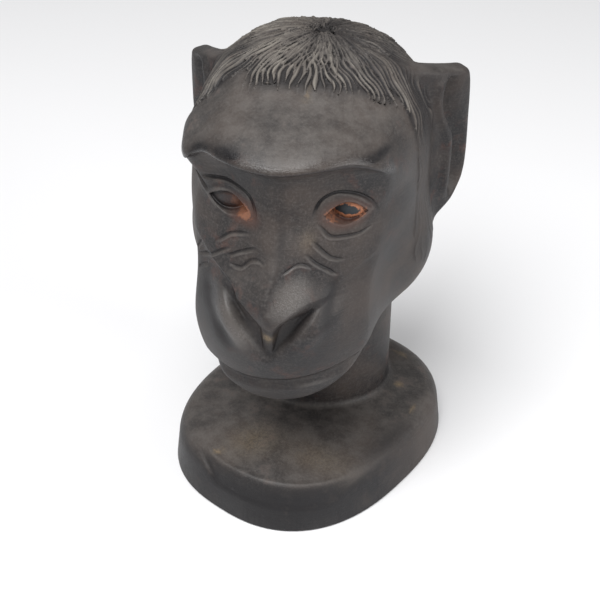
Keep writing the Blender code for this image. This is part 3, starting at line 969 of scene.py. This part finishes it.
@dataclass(frozen=True)
class Skin:
    """How the fine skin is laid over the form."""

    first_step: float = 0.9
    fine_step: float = 0.4
    quick_step: float = 0.9
    first_rounds: int = 5
    fine_rounds: int = 6
    triangles: int = 192_000
    kept_weight: float = 0.9
    reach: float = 0.25
    least_slope: float = 0.35
    farthest: float = 1.2
    ease: float = 0.9
    evening: float = 0.4
    unsmoothed: int = 2

    def even(self, mesh: bpy.types.Mesh, step: float) -> bpy.types.Mesh:
        """Lays a skin of even squares round a mesh.

        Args:
            mesh: what it is laid round, in metres. It is removed.
            step: the side of the squares, in millimetres.

        Returns:
            The new mesh.
        """
        block = placed("skin", mesh)
        remesh = block.modifiers.new("skin", "REMESH")
        remesh.mode = "VOXEL"
        remesh.voxel_size = step * METRES
        remesh.adaptivity = 0.0
        return self.applied(block)

    def applied(self, block: bpy.types.Object) -> bpy.types.Mesh:
        """Applies the modifiers of an object, removes it and returns the mesh they made."""
        bpy.context.view_layer.update()
        graph = bpy.context.evaluated_depsgraph_get()
        made = bpy.data.meshes.new_from_object(block.evaluated_get(graph))
        old = block.data
        bpy.data.objects.remove(block)
        bpy.data.meshes.remove(old)
        return made

    def smoothed(self, mesh: bpy.types.Mesh, factor: float) -> None:
        """Moves each point by a share, the factor, towards the middle of its neighbours."""
        work = bmesh.new()
        work.from_mesh(mesh)
        bmesh.ops.smooth_vert(
            work, verts=work.verts[:], factor=factor, use_axis_x=True, use_axis_y=True, use_axis_z=True
        )
        work.to_mesh(mesh)
        work.free()

    def places(self, mesh: bpy.types.Mesh) -> Array:
        """The points of a mesh, in millimetres."""
        flat = np.empty(len(mesh.vertices) * 3)
        mesh.vertices.foreach_get("co", flat)
        return flat.reshape(-1, 3) * MILLIMETRES

    def place(self, mesh: bpy.types.Mesh, points: Array) -> None:
        """Moves the points of a mesh, given in millimetres."""
        mesh.vertices.foreach_set("co", (points * METRES).ravel())
        mesh.update()

    def normals(self, mesh: bpy.types.Mesh) -> Array:
        """The normals at the points of a mesh."""
        flat = np.empty(len(mesh.vertices) * 3)
        mesh.vertex_normals.foreach_get("vector", flat)
        return flat.reshape(-1, 3)

    def settle(self, mesh: bpy.types.Mesh, form: "Bust", rounds: int, step: float) -> None:
        """Moves the points onto the form.

        Args:
            mesh: the skin.
            form: the bust, which gives the field.
            rounds: how often the points are moved.
            step: how far apart they are, in millimetres.
        """
        for index in range(rounds):
            if index < rounds - self.unsmoothed:
                self.smoothed(mesh, self.evening)
            points = self.places(mesh)
            away = self.normals(mesh)
            here = form.field(points)
            there = form.field(points + self.reach * away)
            slope = np.maximum((there - here) / self.reach, self.least_slope)
            far = self.farthest * step
            move = np.clip(here / slope, -far, far)
            self.place(mesh, points - away * (move * self.ease)[:, None])

    def thinned(self, mesh: bpy.types.Mesh, plain: Array) -> bpy.types.Mesh:
        """Takes out triangles where the skin is plain.

        Args:
            mesh: the skin, in squares.
            plain: 1 where points may go first, and less where they are kept.

        Returns:
            The skin in triangles, within the number that a piece may have.
        """
        share = self.triangles / (2.0 * len(mesh.polygons))
        block = placed("thin", mesh)
        group = block.vertex_groups.new(name="plain")
        group.add(np.flatnonzero(plain > 0.5).tolist(), 1.0, "REPLACE")
        group.add(np.flatnonzero(plain <= 0.5).tolist(), self.kept_weight, "REPLACE")
        if share < 1.0:
            decimate = block.modifiers.new("thin", "DECIMATE")
            decimate.ratio = share
            decimate.use_collapse_triangulate = True
            decimate.vertex_group = "plain"
        return self.applied(block)


class Masks(Enum):
    """What the finish reads at each point of the wood, in the order in which it reads it."""

    # Painted highlight on the locks.
    LOCK = "lock"
    HAIR = "hair"
    # Painted shade in the hollows.
    HOLLOW = "hollow"
    # Worn edges and painted highlights.
    EDGE = "edge"
    # Painted top light.
    UPWARD = "top_light"
    GLOSS = "gloss"
    PALE = "pale"
    # Sooty smudges and painted shade.
    SOOT = "soot_and_shade"


@dataclass(frozen=True)
class Patch:
    """A soft patch of another tone.

    Args:
        middle: its middle, across and up, or across and back where it lies flat.
        reach: how far it runs each way.
        turn: its turn, in degrees.
        strength: how strong it is.
        flat: whether it is laid from above, and not from the front.
    """

    middle: tuple[float, float]
    reach: tuple[float, float]
    turn: float = 0.0
    strength: float = 1.0
    flat: bool = False

    def share(self, points: Array, away: Array) -> Array:
        """How much of the patch lies at each point.

        Args:
            points: places in millimetres.
            away: the normals there.

        Returns:
            The share, up to the strength.
        """
        side = points[:, 1] if self.flat else points[:, 2]
        faces = fade(-points[:, 1], 2.0, 12.0)
        if self.flat:
            faces = fade(away[:, 2], 0.2, 0.6) * fade(-points[:, 2], -40.0, -35.0)
        turn = math.radians(self.turn)
        across, up = points[:, 0] - self.middle[0], side - self.middle[1]
        long = across * math.cos(turn) + up * math.sin(turn)
        wide = up * math.cos(turn) - across * math.sin(turn)
        return self.strength * np.exp(-((long / self.reach[0]) ** 2) - (wide / self.reach[1]) ** 2) * faces


@dataclass(frozen=True)
class Wear:
    """Where the wood is polished; lighter, from wear and painted highlights; nicked or dusted pale; and
    darker, from sooty smudges and painted shade.
    """

    gloss: tuple[Patch, ...] = (
        Patch((5.6, 108.0), (6.2, 8.0), -15.0),
        Patch((-13.5, 94.5), (11.0, 3.4), -50.0, 0.9),
        Patch((-10.5, 150.2), (5.5, 1.5), 10.0),
        Patch((25.0, 149.8), (4.5, 1.4), -15.0),
        Patch((8.5, 92.3), (5.0, 2.4), 20.0, 0.6),
        Patch((37.0, 134.0), (2.4, 7.0), 0.0, 0.3),
    )
    # Lighter patches. Those on the lower lip, the ridge at the right side of the face and under the left brow
    # are painted highlights. Those on the nose's facet and the muzzle's pads are wear with painted
    # highlights. The long one down the right side of the face is lighter streaky wood.
    rubbed_and_lit: tuple[Patch, ...] = (
        Patch((6.0, 107.5), (7.0, 8.5), -15.0, 1.0),
        Patch((-13.5, 95.5), (12.0, 4.2), -50.0, 1.0),
        Patch((-16.0, 91.0), (10.0, 3.4), -50.0, 0.8),
        Patch((8.5, 92.3), (5.0, 2.6), 20.0, 0.5),
        Patch((12.0, 67.5), (9.0, 1.4), 8.0, 0.8),
        Patch((37.0, 134.0), (2.6, 8.0), 0.0, 0.4),
        Patch((38.0, 108.0), (3.0, 18.0), -8.0, 0.5),
        Patch((-22.0, 141.0), (9.0, 1.6), 20.0, 0.5),
    )
    pale: tuple[Patch, ...] = (
        Patch((-1.5, 92.0), (1.5, 1.4), 0.0, 1.0),
        Patch((9.3, 124.0), (2.2, 3.2), 0.0, 0.16),
        Patch((4.2, 162.8), (0.5, 1.3), 0.0, 0.6),
        Patch((-26.0, -36.9), (1.6, 0.7), 40.0, 0.8, True),
        Patch((42.7, 2.1), (1.2, 0.8), 20.0, 0.8, True),
        Patch((34.9, 14.3), (0.8, 1.3), 0.0, 0.8, True),
        Patch((33.1, 34.2), (1.4, 0.8), 0.0, 0.8, True),
        Patch((-14.0, -30.0), (9.0, 7.0), 30.0, 0.25, True),
        Patch((12.0, -34.0), (12.0, 6.0), -10.0, 0.16, True),
    )
    # The first three are sooty smudges along the brow. The rest are painted shade: under the muzzle and chin,
    # down the left of the muzzle, on the right cheek, beside the nose, in the left eye's outer corner, on the
    # neck under the head, low on the plinth's front and on its top beside the neck.
    soot_and_shade: tuple[Patch, ...] = (
        Patch((-27.8, 147.9), (4.4, 1.4), 33.0, 1.8),
        Patch((-16.6, 151.6), (5.2, 1.2), 8.0, 1.9),
        Patch((27.8, 149.9), (4.0, 1.0), -18.0, 1.7),
        Patch((14.0, 84.0), (15.0, 10.0), 10.0, 0.6),
        Patch((2.0, 60.0), (26.0, 7.0), 0.0, 0.6),
        Patch((-24.0, 84.0), (8.0, 16.0), 10.0, 0.5),
        Patch((24.0, 112.0), (9.0, 16.0), 0.0, 0.35),
        Patch((12.0, 38.0), (30.0, 12.0), 0.0, 0.8),
        Patch((1.4, 125.0), (1.6, 7.5), 4.0, 0.7),
        Patch((-27.5, 131.6), (4.0, 2.0), -10.0, 0.8),
        Patch((36.0, -18.0), (4.0, 15.0), -28.0, 0.6, True),
        Patch((-25.0, 95.0), (4.5, 14.0), 22.0, 0.8),
        Patch((4.0, 7.0), (60.0, 9.0), 0.0, 0.8),
        Patch((-32.0, 10.0), (5.0, 14.0), 10.0, 0.5, True),
    )

    wall_shade: float = 0.6
    wall_top: float = 22.0

    def wall(self, points: Array, away: Array) -> Array:
        """Painted shade on the front wall of the plinth, by place and normal."""
        steep = self.wall_shade * (points[:, 2] < self.wall_top) * fade(-away[:, 2], -0.75, -0.35)
        return steep * fade(-points[:, 1], 5.0, 35.0)

    def total(self, patches: tuple[Patch, ...], points: Array, away: Array) -> Array:
        """The shares of the patches added up at each point, to 1 at most."""
        return np.clip(sum(patch.share(points, away) for patch in patches), 0.0, 1.0)


@dataclass
class Bust:
    """The carving in one piece of wood: head, neck and plinth.

    Args:
        plinth: the plinth.
        neck: the neck.
        head: the head.
        skin: how its skin is made.
        wear: where the wood is polished, worn, nicked or sooty, and where highlights and shade are painted on
            it.
        fillet: the rounding between head and neck.
        feel: how far off the wood hollows and edges are felt, in millimetres.
    """

    plinth: Plinth = Plinth()
    neck: Neck = Neck()
    head: Head = Head()
    skin: Skin = Skin()
    wear: Wear = Wear()
    fillet: float = 6.0
    feel: float = 1.6

    def field(self, points: Array) -> Array:
        """The distance from the whole bust, at places in millimetres."""
        body = self.neck.field(points)
        high = points[..., 2] > 40.0
        body[high] = join(self.head.field(points[high]), body[high], self.fillet)
        return join(body, self.plinth.field(points), 0.5 * self.fillet)

    def rough(self) -> bpy.types.Mesh:
        """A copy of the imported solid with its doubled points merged."""
        work = bmesh.new()
        work.from_mesh(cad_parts[NODE].data)
        bmesh.ops.remove_doubles(work, verts=work.verts[:], dist=1e-6)
        copy = bpy.data.meshes.new("rough")
        work.to_mesh(copy)
        work.free()
        return copy

    def kept_in(self, mesh: bpy.types.Mesh) -> None:
        """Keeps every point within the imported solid's box."""
        low, high = (np.array(corner) * MILLIMETRES for corner in CAD_BOX)
        self.skin.place(mesh, np.clip(self.skin.places(mesh), low, high))

    def masks(self, mesh: bpy.types.Mesh) -> dict[Masks, Array]:
        """One value a point of the finished mesh, for each mask."""
        points = self.skin.places(mesh)
        away = self.skin.normals(mesh)
        reach = self.feel
        out = self.field(points + reach * away) / reach
        inside = -self.field(points - reach * away) / reach
        scalp = 1.0 - fade(-self.head.ears(points), -1.0, 0.5)
        lips, brow = self.head.lips(points)
        # Wear, with painted highlights.
        rubbed_and_lit = self.wear.total(self.wear.rubbed_and_lit, points, away)
        # Sooty smudges with painted shade on the lower face, the neck and the plinth.
        soot_and_shade = self.wear.total(self.wear.soot_and_shade, points, away) + self.wear.wall(points, away)
        return {
            # Painted highlight on the locks.
            Masks.LOCK: self.head.hair.relief(points)[1] * scalp,
            Masks.HAIR: self.head.hair.cover(points) * scalp,
            # Painted shade: 1 deep in a hollow, 0 on open wood.
            Masks.HOLLOW: np.clip(1.0 - out, 0.0, 1.0),
            # Worn convex edges, with painted highlights on the lips beside the cuts and on the lighter
            # patches.
            Masks.EDGE: np.maximum(np.clip(1.0 - inside, 0.0, 1.0), np.maximum(lips, rubbed_and_lit)),
            # Painted top light: 1 where the surface faces up.
            Masks.UPWARD: fade(away[:, 2], 0.1, 0.95),
            Masks.GLOSS: np.maximum(self.wear.total(self.wear.gloss, points, away), brow),
            Masks.PALE: self.wear.total(self.wear.pale, points, away),
            # Painted shade in the cuts and under the brow, with the sooty smudges.
            Masks.SOOT: np.maximum(soot_and_shade, self.head.cuts(points)),
        }

    def flow(self, mesh: bpy.types.Mesh) -> Array:
        """Coordinates that run with the hair, for its fine streaks.

        Args:
            mesh: the finished mesh.

        Returns:
            The way round the crown as a point on a circle, and the path from it.
        """
        around, path = self.head.hair.polar(self.skin.places(mesh))
        return np.stack([STREAKS * np.cos(around), STREAKS * np.sin(around), STREAK_RUN * path], -1)

    def build(self) -> bpy.types.Object:
        """Makes the finished object, with the masks that its finish reads."""
        skin = self.skin
        mesh = skin.even(self.rough(), skin.first_step)
        skin.settle(mesh, self, skin.first_rounds, skin.first_step)
        step = skin.fine_step
        mesh = skin.even(mesh, step)
        skin.settle(mesh, self, skin.fine_rounds, step)
        mesh = skin.thinned(mesh, self.head.plainness(skin.places(mesh)))
        self.kept_in(mesh)
        mesh.name = "carved_bust"
        mesh.shade_smooth()
        for mask, values in self.masks(mesh).items():
            layer = mesh.attributes.new(mask.value, "FLOAT", "POINT")
            layer.data.foreach_set("value", values.astype(np.float32))
        layer = mesh.attributes.new("flow", "FLOAT_VECTOR", "POINT")
        layer.data.foreach_set("vector", self.flow(mesh).astype(np.float32).ravel())
        return placed("carved_bust", mesh)


class Nodes:
    """A node tree with short ways to add to it.

    Args:
        tree: the tree that is built.
    """

    def __init__(self, tree: bpy.types.NodeTree) -> None:
        """Keeps the tree."""
        self.tree = tree

    def add(self, kind: str, **settings: object) -> bpy.types.Node:
        """Adds a node by Blender's name for it, and sets properties on it."""
        node = self.tree.nodes.new(kind)
        for name, value in settings.items():
            setattr(node, name, value)
        return node

    def wire(self, value: object, socket: Socket) -> None:
        """Links a socket to an input, or sets a plain value on it."""
        if isinstance(value, Socket):
            self.tree.links.new(value, socket)
        else:
            socket.default_value = value

    def maths(self, what: str, *values: object) -> Socket:
        """One step of arithmetic on sockets or numbers."""
        node = self.add("ShaderNodeMath", operation=what)
        for value, socket in zip(values, node.inputs):
            self.wire(value, socket)
        return node.outputs[0]

    def times(self, one: object, two: object) -> Socket:
        """The product of two sockets or numbers."""
        return self.maths("MULTIPLY", one, two)

    def split(self, place: object) -> bpy.types.NodeOutputs:
        """The parts of coordinates: across, to the back and up."""
        node = self.add("ShaderNodeSeparateXYZ")
        self.wire(place, node.inputs[0])
        return node.outputs

    def between(
        self, value: object, low: float, high: float, start: float = 0.0, end: float = 1.0
    ) -> Socket:
        """Maps a value smoothly.

        Args:
            value: what is mapped.
            low: where the result is start.
            high: where it is end.
            start: the result below.
            end: the result above.

        Returns:
            The mapped value.
        """
        node = self.add("ShaderNodeMapRange", interpolation_type="SMOOTHSTEP")
        for socket, item in zip(node.inputs, (value, low, high, start, end)):
            self.wire(item, socket)
        return node.outputs[0]

    def blended(self, share: object, first: object, second: object) -> Socket:
        """Mixes a share of the second colour over the first."""
        node = self.add("ShaderNodeMix", data_type="RGBA")
        self.wire(share, node.inputs[0])
        self.wire(first, node.inputs[6])
        self.wire(second, node.inputs[7])
        return node.outputs[2]

    def mask(self, mask: Masks) -> Socket:
        """Reads one of the masks that the mesh carries."""
        return self.add("ShaderNodeAttribute", attribute_name=mask.value).outputs["Fac"]

    def noise(self, place: object, scale: float, detail: float = 4.0, rough: float = 0.55) -> Socket:
        """Soft noise in Object coordinates.

        Args:
            place: the coordinates.
            scale: its size, in waves a metre.
            detail: how many finer layers.
            rough: how strong those are.

        Returns:
            The noise from 0 to 1.
        """
        node = self.add("ShaderNodeTexNoise")
        self.wire(place, node.inputs["Vector"])
        self.wire(scale, node.inputs["Scale"])
        self.wire(detail, node.inputs["Detail"])
        self.wire(rough, node.inputs["Roughness"])
        return node.outputs["Fac"]

    def stretched(self, place: object, scale: Point, turn: Point = (0.0, 0.0, 0.0)) -> Socket:
        """Coordinates that are turned, in radians, and stretched on each axis."""
        node = self.add("ShaderNodeMapping")
        self.wire(place, node.inputs["Vector"])
        self.wire(scale, node.inputs["Scale"])
        self.wire(turn, node.inputs["Rotation"])
        return node.outputs[0]


@dataclass(frozen=True)
class PaintedEye:
    """The paint on an eye: a slate pupil in an orange ring, with a red bloom round it.

    Args:
        middle: the pupil's middle, across and up, in millimetres.
        pupil: its half width and half height.
        ring: the same for the ring.
        bloom: the same for the bloom.
        turn: how the eye slants, in degrees.
        strength: how much of the ring's paint is left.
        aside: how far the pupil lies from the ring's middle, in millimetres.
        slate: how much of the pupil's paint is left.
    """

    middle: tuple[float, float]
    pupil: tuple[float, float]
    ring: tuple[float, float]
    bloom: tuple[float, float]
    turn: float = 0.0
    strength: float = 1.0
    aside: float = 0.0
    slate: float = 1.0


@dataclass(frozen=True)
class DarkWood:
    """Oiled near-black wood, dulled with age, with painted shade in its hollows and partings, painted
    highlights on its locks, the lips of its cuts and its lighter patches, and eyes painted on.
    """

    deep: Colour = (0.010, 0.009, 0.010, 1.0)
    brown: Colour = (0.045, 0.034, 0.029, 1.0)
    worn: Colour = (0.125, 0.114, 0.106, 1.0)
    # The colour of the painted highlight on the locks.
    dust: Colour = (0.20, 0.182, 0.158, 1.0)
    tan: Colour = (0.26, 0.19, 0.11, 1.0)
    rust: Colour = (0.085, 0.032, 0.020, 1.0)
    ember: Colour = (0.42, 0.17, 0.085, 1.0)
    pupil: Colour = (0.022, 0.027, 0.031, 1.0)
    shine: float = 0.34
    polish: float = 0.34
    grain_strength: float = 0.35
    grain_height: float = 0.0004
    eyes: tuple[PaintedEye, ...] = (
        PaintedEye((19.8, 130.7), (4.0, 1.9), (6.3, 3.25), (9.5, 6.5), 0.0, 0.85),
        PaintedEye((-13.8, 129.4), (4.2, 1.9), (4.8, 2.9), (9.5, 6.0), 8.0, 0.42, -4.6, 0.45),
    )

    def ellipse(
        self, nodes: Nodes, place: object, eye: PaintedEye, size: tuple[float, float], aside: float = 0.0
    ) -> Socket:
        """How far a point lies from an eye's middle, where 1 is the rim of an ellipse.

        Args:
            nodes: the material's nodes.
            place: the Object coordinates.
            eye: the eye.
            size: the ellipse's half width and half height.
            aside: how far the ellipse lies to the side of the middle.

        Returns:
            The distance.
        """
        parts = nodes.split(place)
        turn = math.radians(eye.turn)
        across = nodes.maths("SUBTRACT", parts[0], (eye.middle[0] + aside) * METRES)
        up = nodes.maths("SUBTRACT", parts[2], eye.middle[1] * METRES)
        pairs = []
        turns = ((math.cos(turn), -math.sin(turn)), (math.sin(turn), math.cos(turn)))
        for (one, two), half in zip(turns, size):
            part = nodes.maths("ADD", nodes.times(across, one), nodes.times(up, two))
            part = nodes.maths("DIVIDE", part, half * METRES)
            pairs.append(nodes.times(part, part))
        return nodes.maths("SQRT", nodes.maths("ADD", pairs[0], pairs[1]))

    def painted(self, nodes: Nodes, place: object, colour: object) -> Socket:
        """The wood's colour with the eyes painted on, at Object coordinates."""
        front = nodes.between(nodes.times(nodes.split(place)[1], -1.0), 0.024, 0.027)
        crumb = nodes.noise(place, 900.0, 3.0, 0.7)
        uneven = nodes.between(crumb, 0.3, 0.7, -0.16, 0.16)
        for eye in self.eyes:
            bloom = nodes.between(self.ellipse(nodes, place, eye, eye.bloom), 0.4, 1.0, 0.55, 0.0)
            colour = nodes.blended(nodes.times(bloom, front), colour, self.rust)
            rim = nodes.maths("ADD", self.ellipse(nodes, place, eye, eye.ring), uneven)
            ring = nodes.between(rim, 0.72, 1.02, eye.strength, 0.0)
            ring = nodes.times(ring, nodes.between(crumb, 0.30, 0.55, 0.45, 1.0))
            colour = nodes.blended(nodes.times(ring, front), colour, self.ember)
            rim = nodes.maths("ADD", self.ellipse(nodes, place, eye, eye.pupil, eye.aside), uneven)
            disc = nodes.between(rim, 0.85, 1.08, eye.slate, 0.0)
            colour = nodes.blended(nodes.times(disc, front), colour, self.pupil)
        return colour

    def material(self) -> bpy.types.Material:
        """Builds the finish."""
        material = bpy.data.materials.new("dark_wood_carved")
        material.use_nodes = True
        nodes = Nodes(material.node_tree)
        shader = material.node_tree.nodes["Principled BSDF"]
        place = nodes.add("ShaderNodeTexCoord").outputs["Object"]
        flow = nodes.add("ShaderNodeAttribute", attribute_name="flow").outputs["Vector"]
        lock, hair, hollow, edge, top_light, gloss, pale, soot_and_shade = (nodes.mask(mask) for mask in Masks)
        cloud = nodes.noise(place, 34.0, 6.0, 0.6)
        mottle = nodes.noise(place, 150.0, 5.0, 0.65)
        fine = nodes.noise(place, 1100.0, 4.0, 0.75)
        lines = nodes.noise(nodes.stretched(place, (90.0, 90.0, 1900.0), (0.05, 0.12, 0.0)), 1.0, 4.0, 0.7)
        streaks = nodes.noise(flow, 1.0, 3.0, 0.6)
        colour = nodes.blended(nodes.between(cloud, 0.38, 0.64), self.deep, self.brown)
        rusty = nodes.times(nodes.between(mottle, 0.5, 0.7, 0.0, 0.5), nodes.between(cloud, 0.5, 0.4))
        colour = nodes.blended(rusty, colour, self.rust)
        colour = nodes.blended(nodes.between(lines, 0.50, 0.78, 0.0, 0.2), colour, self.worn)
        colour = nodes.blended(nodes.between(fine, 0.44, 0.70, 0.0, 0.30), colour, self.worn)
        # Painted top light: faces turned up are lighter, in mottled patches.
        rubbed_and_lit = nodes.times(top_light, nodes.between(mottle, 0.34, 0.68, 0.20, 0.58))
        colour = nodes.blended(rubbed_and_lit, colour, self.worn)
        # Lighter worn edges, with painted highlights on the lips of the cuts and on the lighter patches.
        colour = nodes.blended(nodes.between(edge, 0.3, 1.0, 0.0, 0.6), colour, self.worn)
        # Painted shade: the hollows are darkened to the deepest tone.
        colour = nodes.blended(nodes.between(hollow, 0.20, 0.75, 0.0, 0.85), colour, self.deep)
        # Painted highlight along the locks, streaked with the flow of the hair.
        lock_highlight = nodes.times(lock, nodes.between(streaks, 0.30, 0.66, 0.30, 1.0))
        lock_highlight = nodes.times(lock_highlight, nodes.between(cloud, 0.36, 0.60, 0.6, 1.0))
        # Painted shade in the partings between the locks.
        parting_shade = nodes.times(hair, nodes.between(lock, 0.05, 0.4, 0.85, 0.0))
        colour = nodes.blended(parting_shade, colour, self.deep)
        colour = nodes.blended(nodes.between(lock_highlight, 0.05, 0.8, 0.0, 0.9), colour, self.dust)
        # Painted shade and sooty smudges, darkened towards the deepest tone.
        sooted_and_shaded = nodes.times(soot_and_shade, nodes.between(mottle, 0.25, 0.6, 0.5, 1.0))
        colour = nodes.blended(sooted_and_shaded, colour, self.deep)
        tinted = nodes.times(pale, nodes.between(fine, 0.3, 0.6, 0.3, 1.0))
        colour = nodes.blended(tinted, colour, self.tan)
        nodes.wire(self.painted(nodes, place, colour), shader.inputs["Base Color"])
        rough = nodes.between(cloud, 0.3, 0.7, 0.44, 0.54)
        rough = nodes.maths("ADD", rough, nodes.times(hair, 0.12))
        rough = nodes.maths("ADD", rough, nodes.between(fine, 0.3, 0.7, -0.03, 0.07))
        rough = nodes.maths("SUBTRACT", rough, nodes.times(gloss, self.polish))
        nodes.wire(rough, shader.inputs["Roughness"])
        shader.inputs["Specular IOR Level"].default_value = self.shine
        bump = nodes.add("ShaderNodeBump")
        nodes.wire(self.grain_strength, bump.inputs["Strength"])
        nodes.wire(self.grain_height, bump.inputs["Distance"])
        grain = nodes.maths("ADD", nodes.times(lines, 0.6), fine)
        grain = nodes.maths("ADD", grain, nodes.times(nodes.times(streaks, hair), 1.2))
        nodes.wire(grain, bump.inputs["Height"])
        nodes.wire(bump.outputs[0], shader.inputs["Normal"])
        return material


@dataclass(frozen=True)
class PaleFloor:
    """Matte pale paper."""

    colour: Colour = (0.86, 0.86, 0.87, 1.0)

    def material(self) -> bpy.types.Material:
        """Builds the finish."""
        material = bpy.data.materials.new("pale_floor")
        material.use_nodes = True
        shader = material.node_tree.nodes["Principled BSDF"]
        shader.inputs["Base Color"].default_value = self.colour
        shader.inputs["Roughness"].default_value = 0.9
        shader.inputs["Specular IOR Level"].default_value = 0.1
        return material


@dataclass(frozen=True)
class Lamp:
    """A soft square lamp that looks at the middle of the bust."""

    name: str
    place: Point
    size: float
    power: float
    colour: tuple[float, float, float] = (1.0, 1.0, 1.0)

    def hang(self, target: Vector) -> None:
        """Puts the lamp in the scene, looking at the target in metres."""
        light = bpy.data.lights.new(self.name, "AREA")
        light.size = self.size
        light.energy = self.power
        light.color = self.colour
        lamp = placed(self.name, light)
        lamp.location = self.place
        lamp.rotation_euler = (target - Vector(self.place)).to_track_quat("-Z", "Y").to_euler()


@dataclass(frozen=True)
class Studio:
    """The pale floor, the soft light and the camera at the photograph's angle."""

    floor_size: float = 6.0
    camera_place: Point = (0.0748, -0.3491, 0.337)
    pitch: float = math.radians(53.0)
    turn: float = math.radians(12.5)
    lens: float = 72.0
    target: Point = (0.0, 0.0, 0.09)
    sky: float = 0.36
    lamps: tuple[Lamp, ...] = (
        Lamp("key", (-0.18, -0.45, 1.0), 0.7, 13.0),
        Lamp("side", (0.85, -0.32, 0.42), 0.45, 4.5),
    )

    def build(self) -> None:
        """Makes the floor, the lights and the camera."""
        work = bmesh.new()
        bmesh.ops.create_grid(work, x_segments=1, y_segments=1, size=0.5 * self.floor_size)
        mesh = bpy.data.meshes.new("floor")
        work.to_mesh(mesh)
        work.free()
        mesh.materials.append(PaleFloor().material())
        floor = placed("floor", mesh)
        world = bpy.data.worlds.new("soft_sky")
        world.use_nodes = True
        world.node_tree.nodes["Background"].inputs["Color"].default_value = (1.0, 1.0, 1.0, 1.0)
        world.node_tree.nodes["Background"].inputs["Strength"].default_value = self.sky
        bpy.context.scene.world = world
        for lamp in self.lamps:
            lamp.hang(Vector(self.target))
        camera = bpy.data.cameras.new("camera")
        camera.lens = self.lens
        camera.sensor_width = 36.0
        camera.clip_start = 0.01
        eye = placed("camera", camera)
        eye.location = self.camera_place
        eye.rotation_euler = (self.pitch, 0.0, self.turn)
        bpy.context.scene.camera = eye
        bpy.context.scene.view_settings.view_transform = "Standard"


def main() -> None:
    """Builds the studio and then the bust."""
    logging.basicConfig(level=logging.INFO, format="%(message)s")
    Studio().build()
    bust = Bust().build()
    bust.data.materials.clear()
    bust.data.materials.append(DarkWood().material())
    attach(bust, "root")
    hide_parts(NODE)
    LOG.info("%s: %d triangles", bust.name, len(bust.data.polygons))


if __name__ == "__main__":
    main()
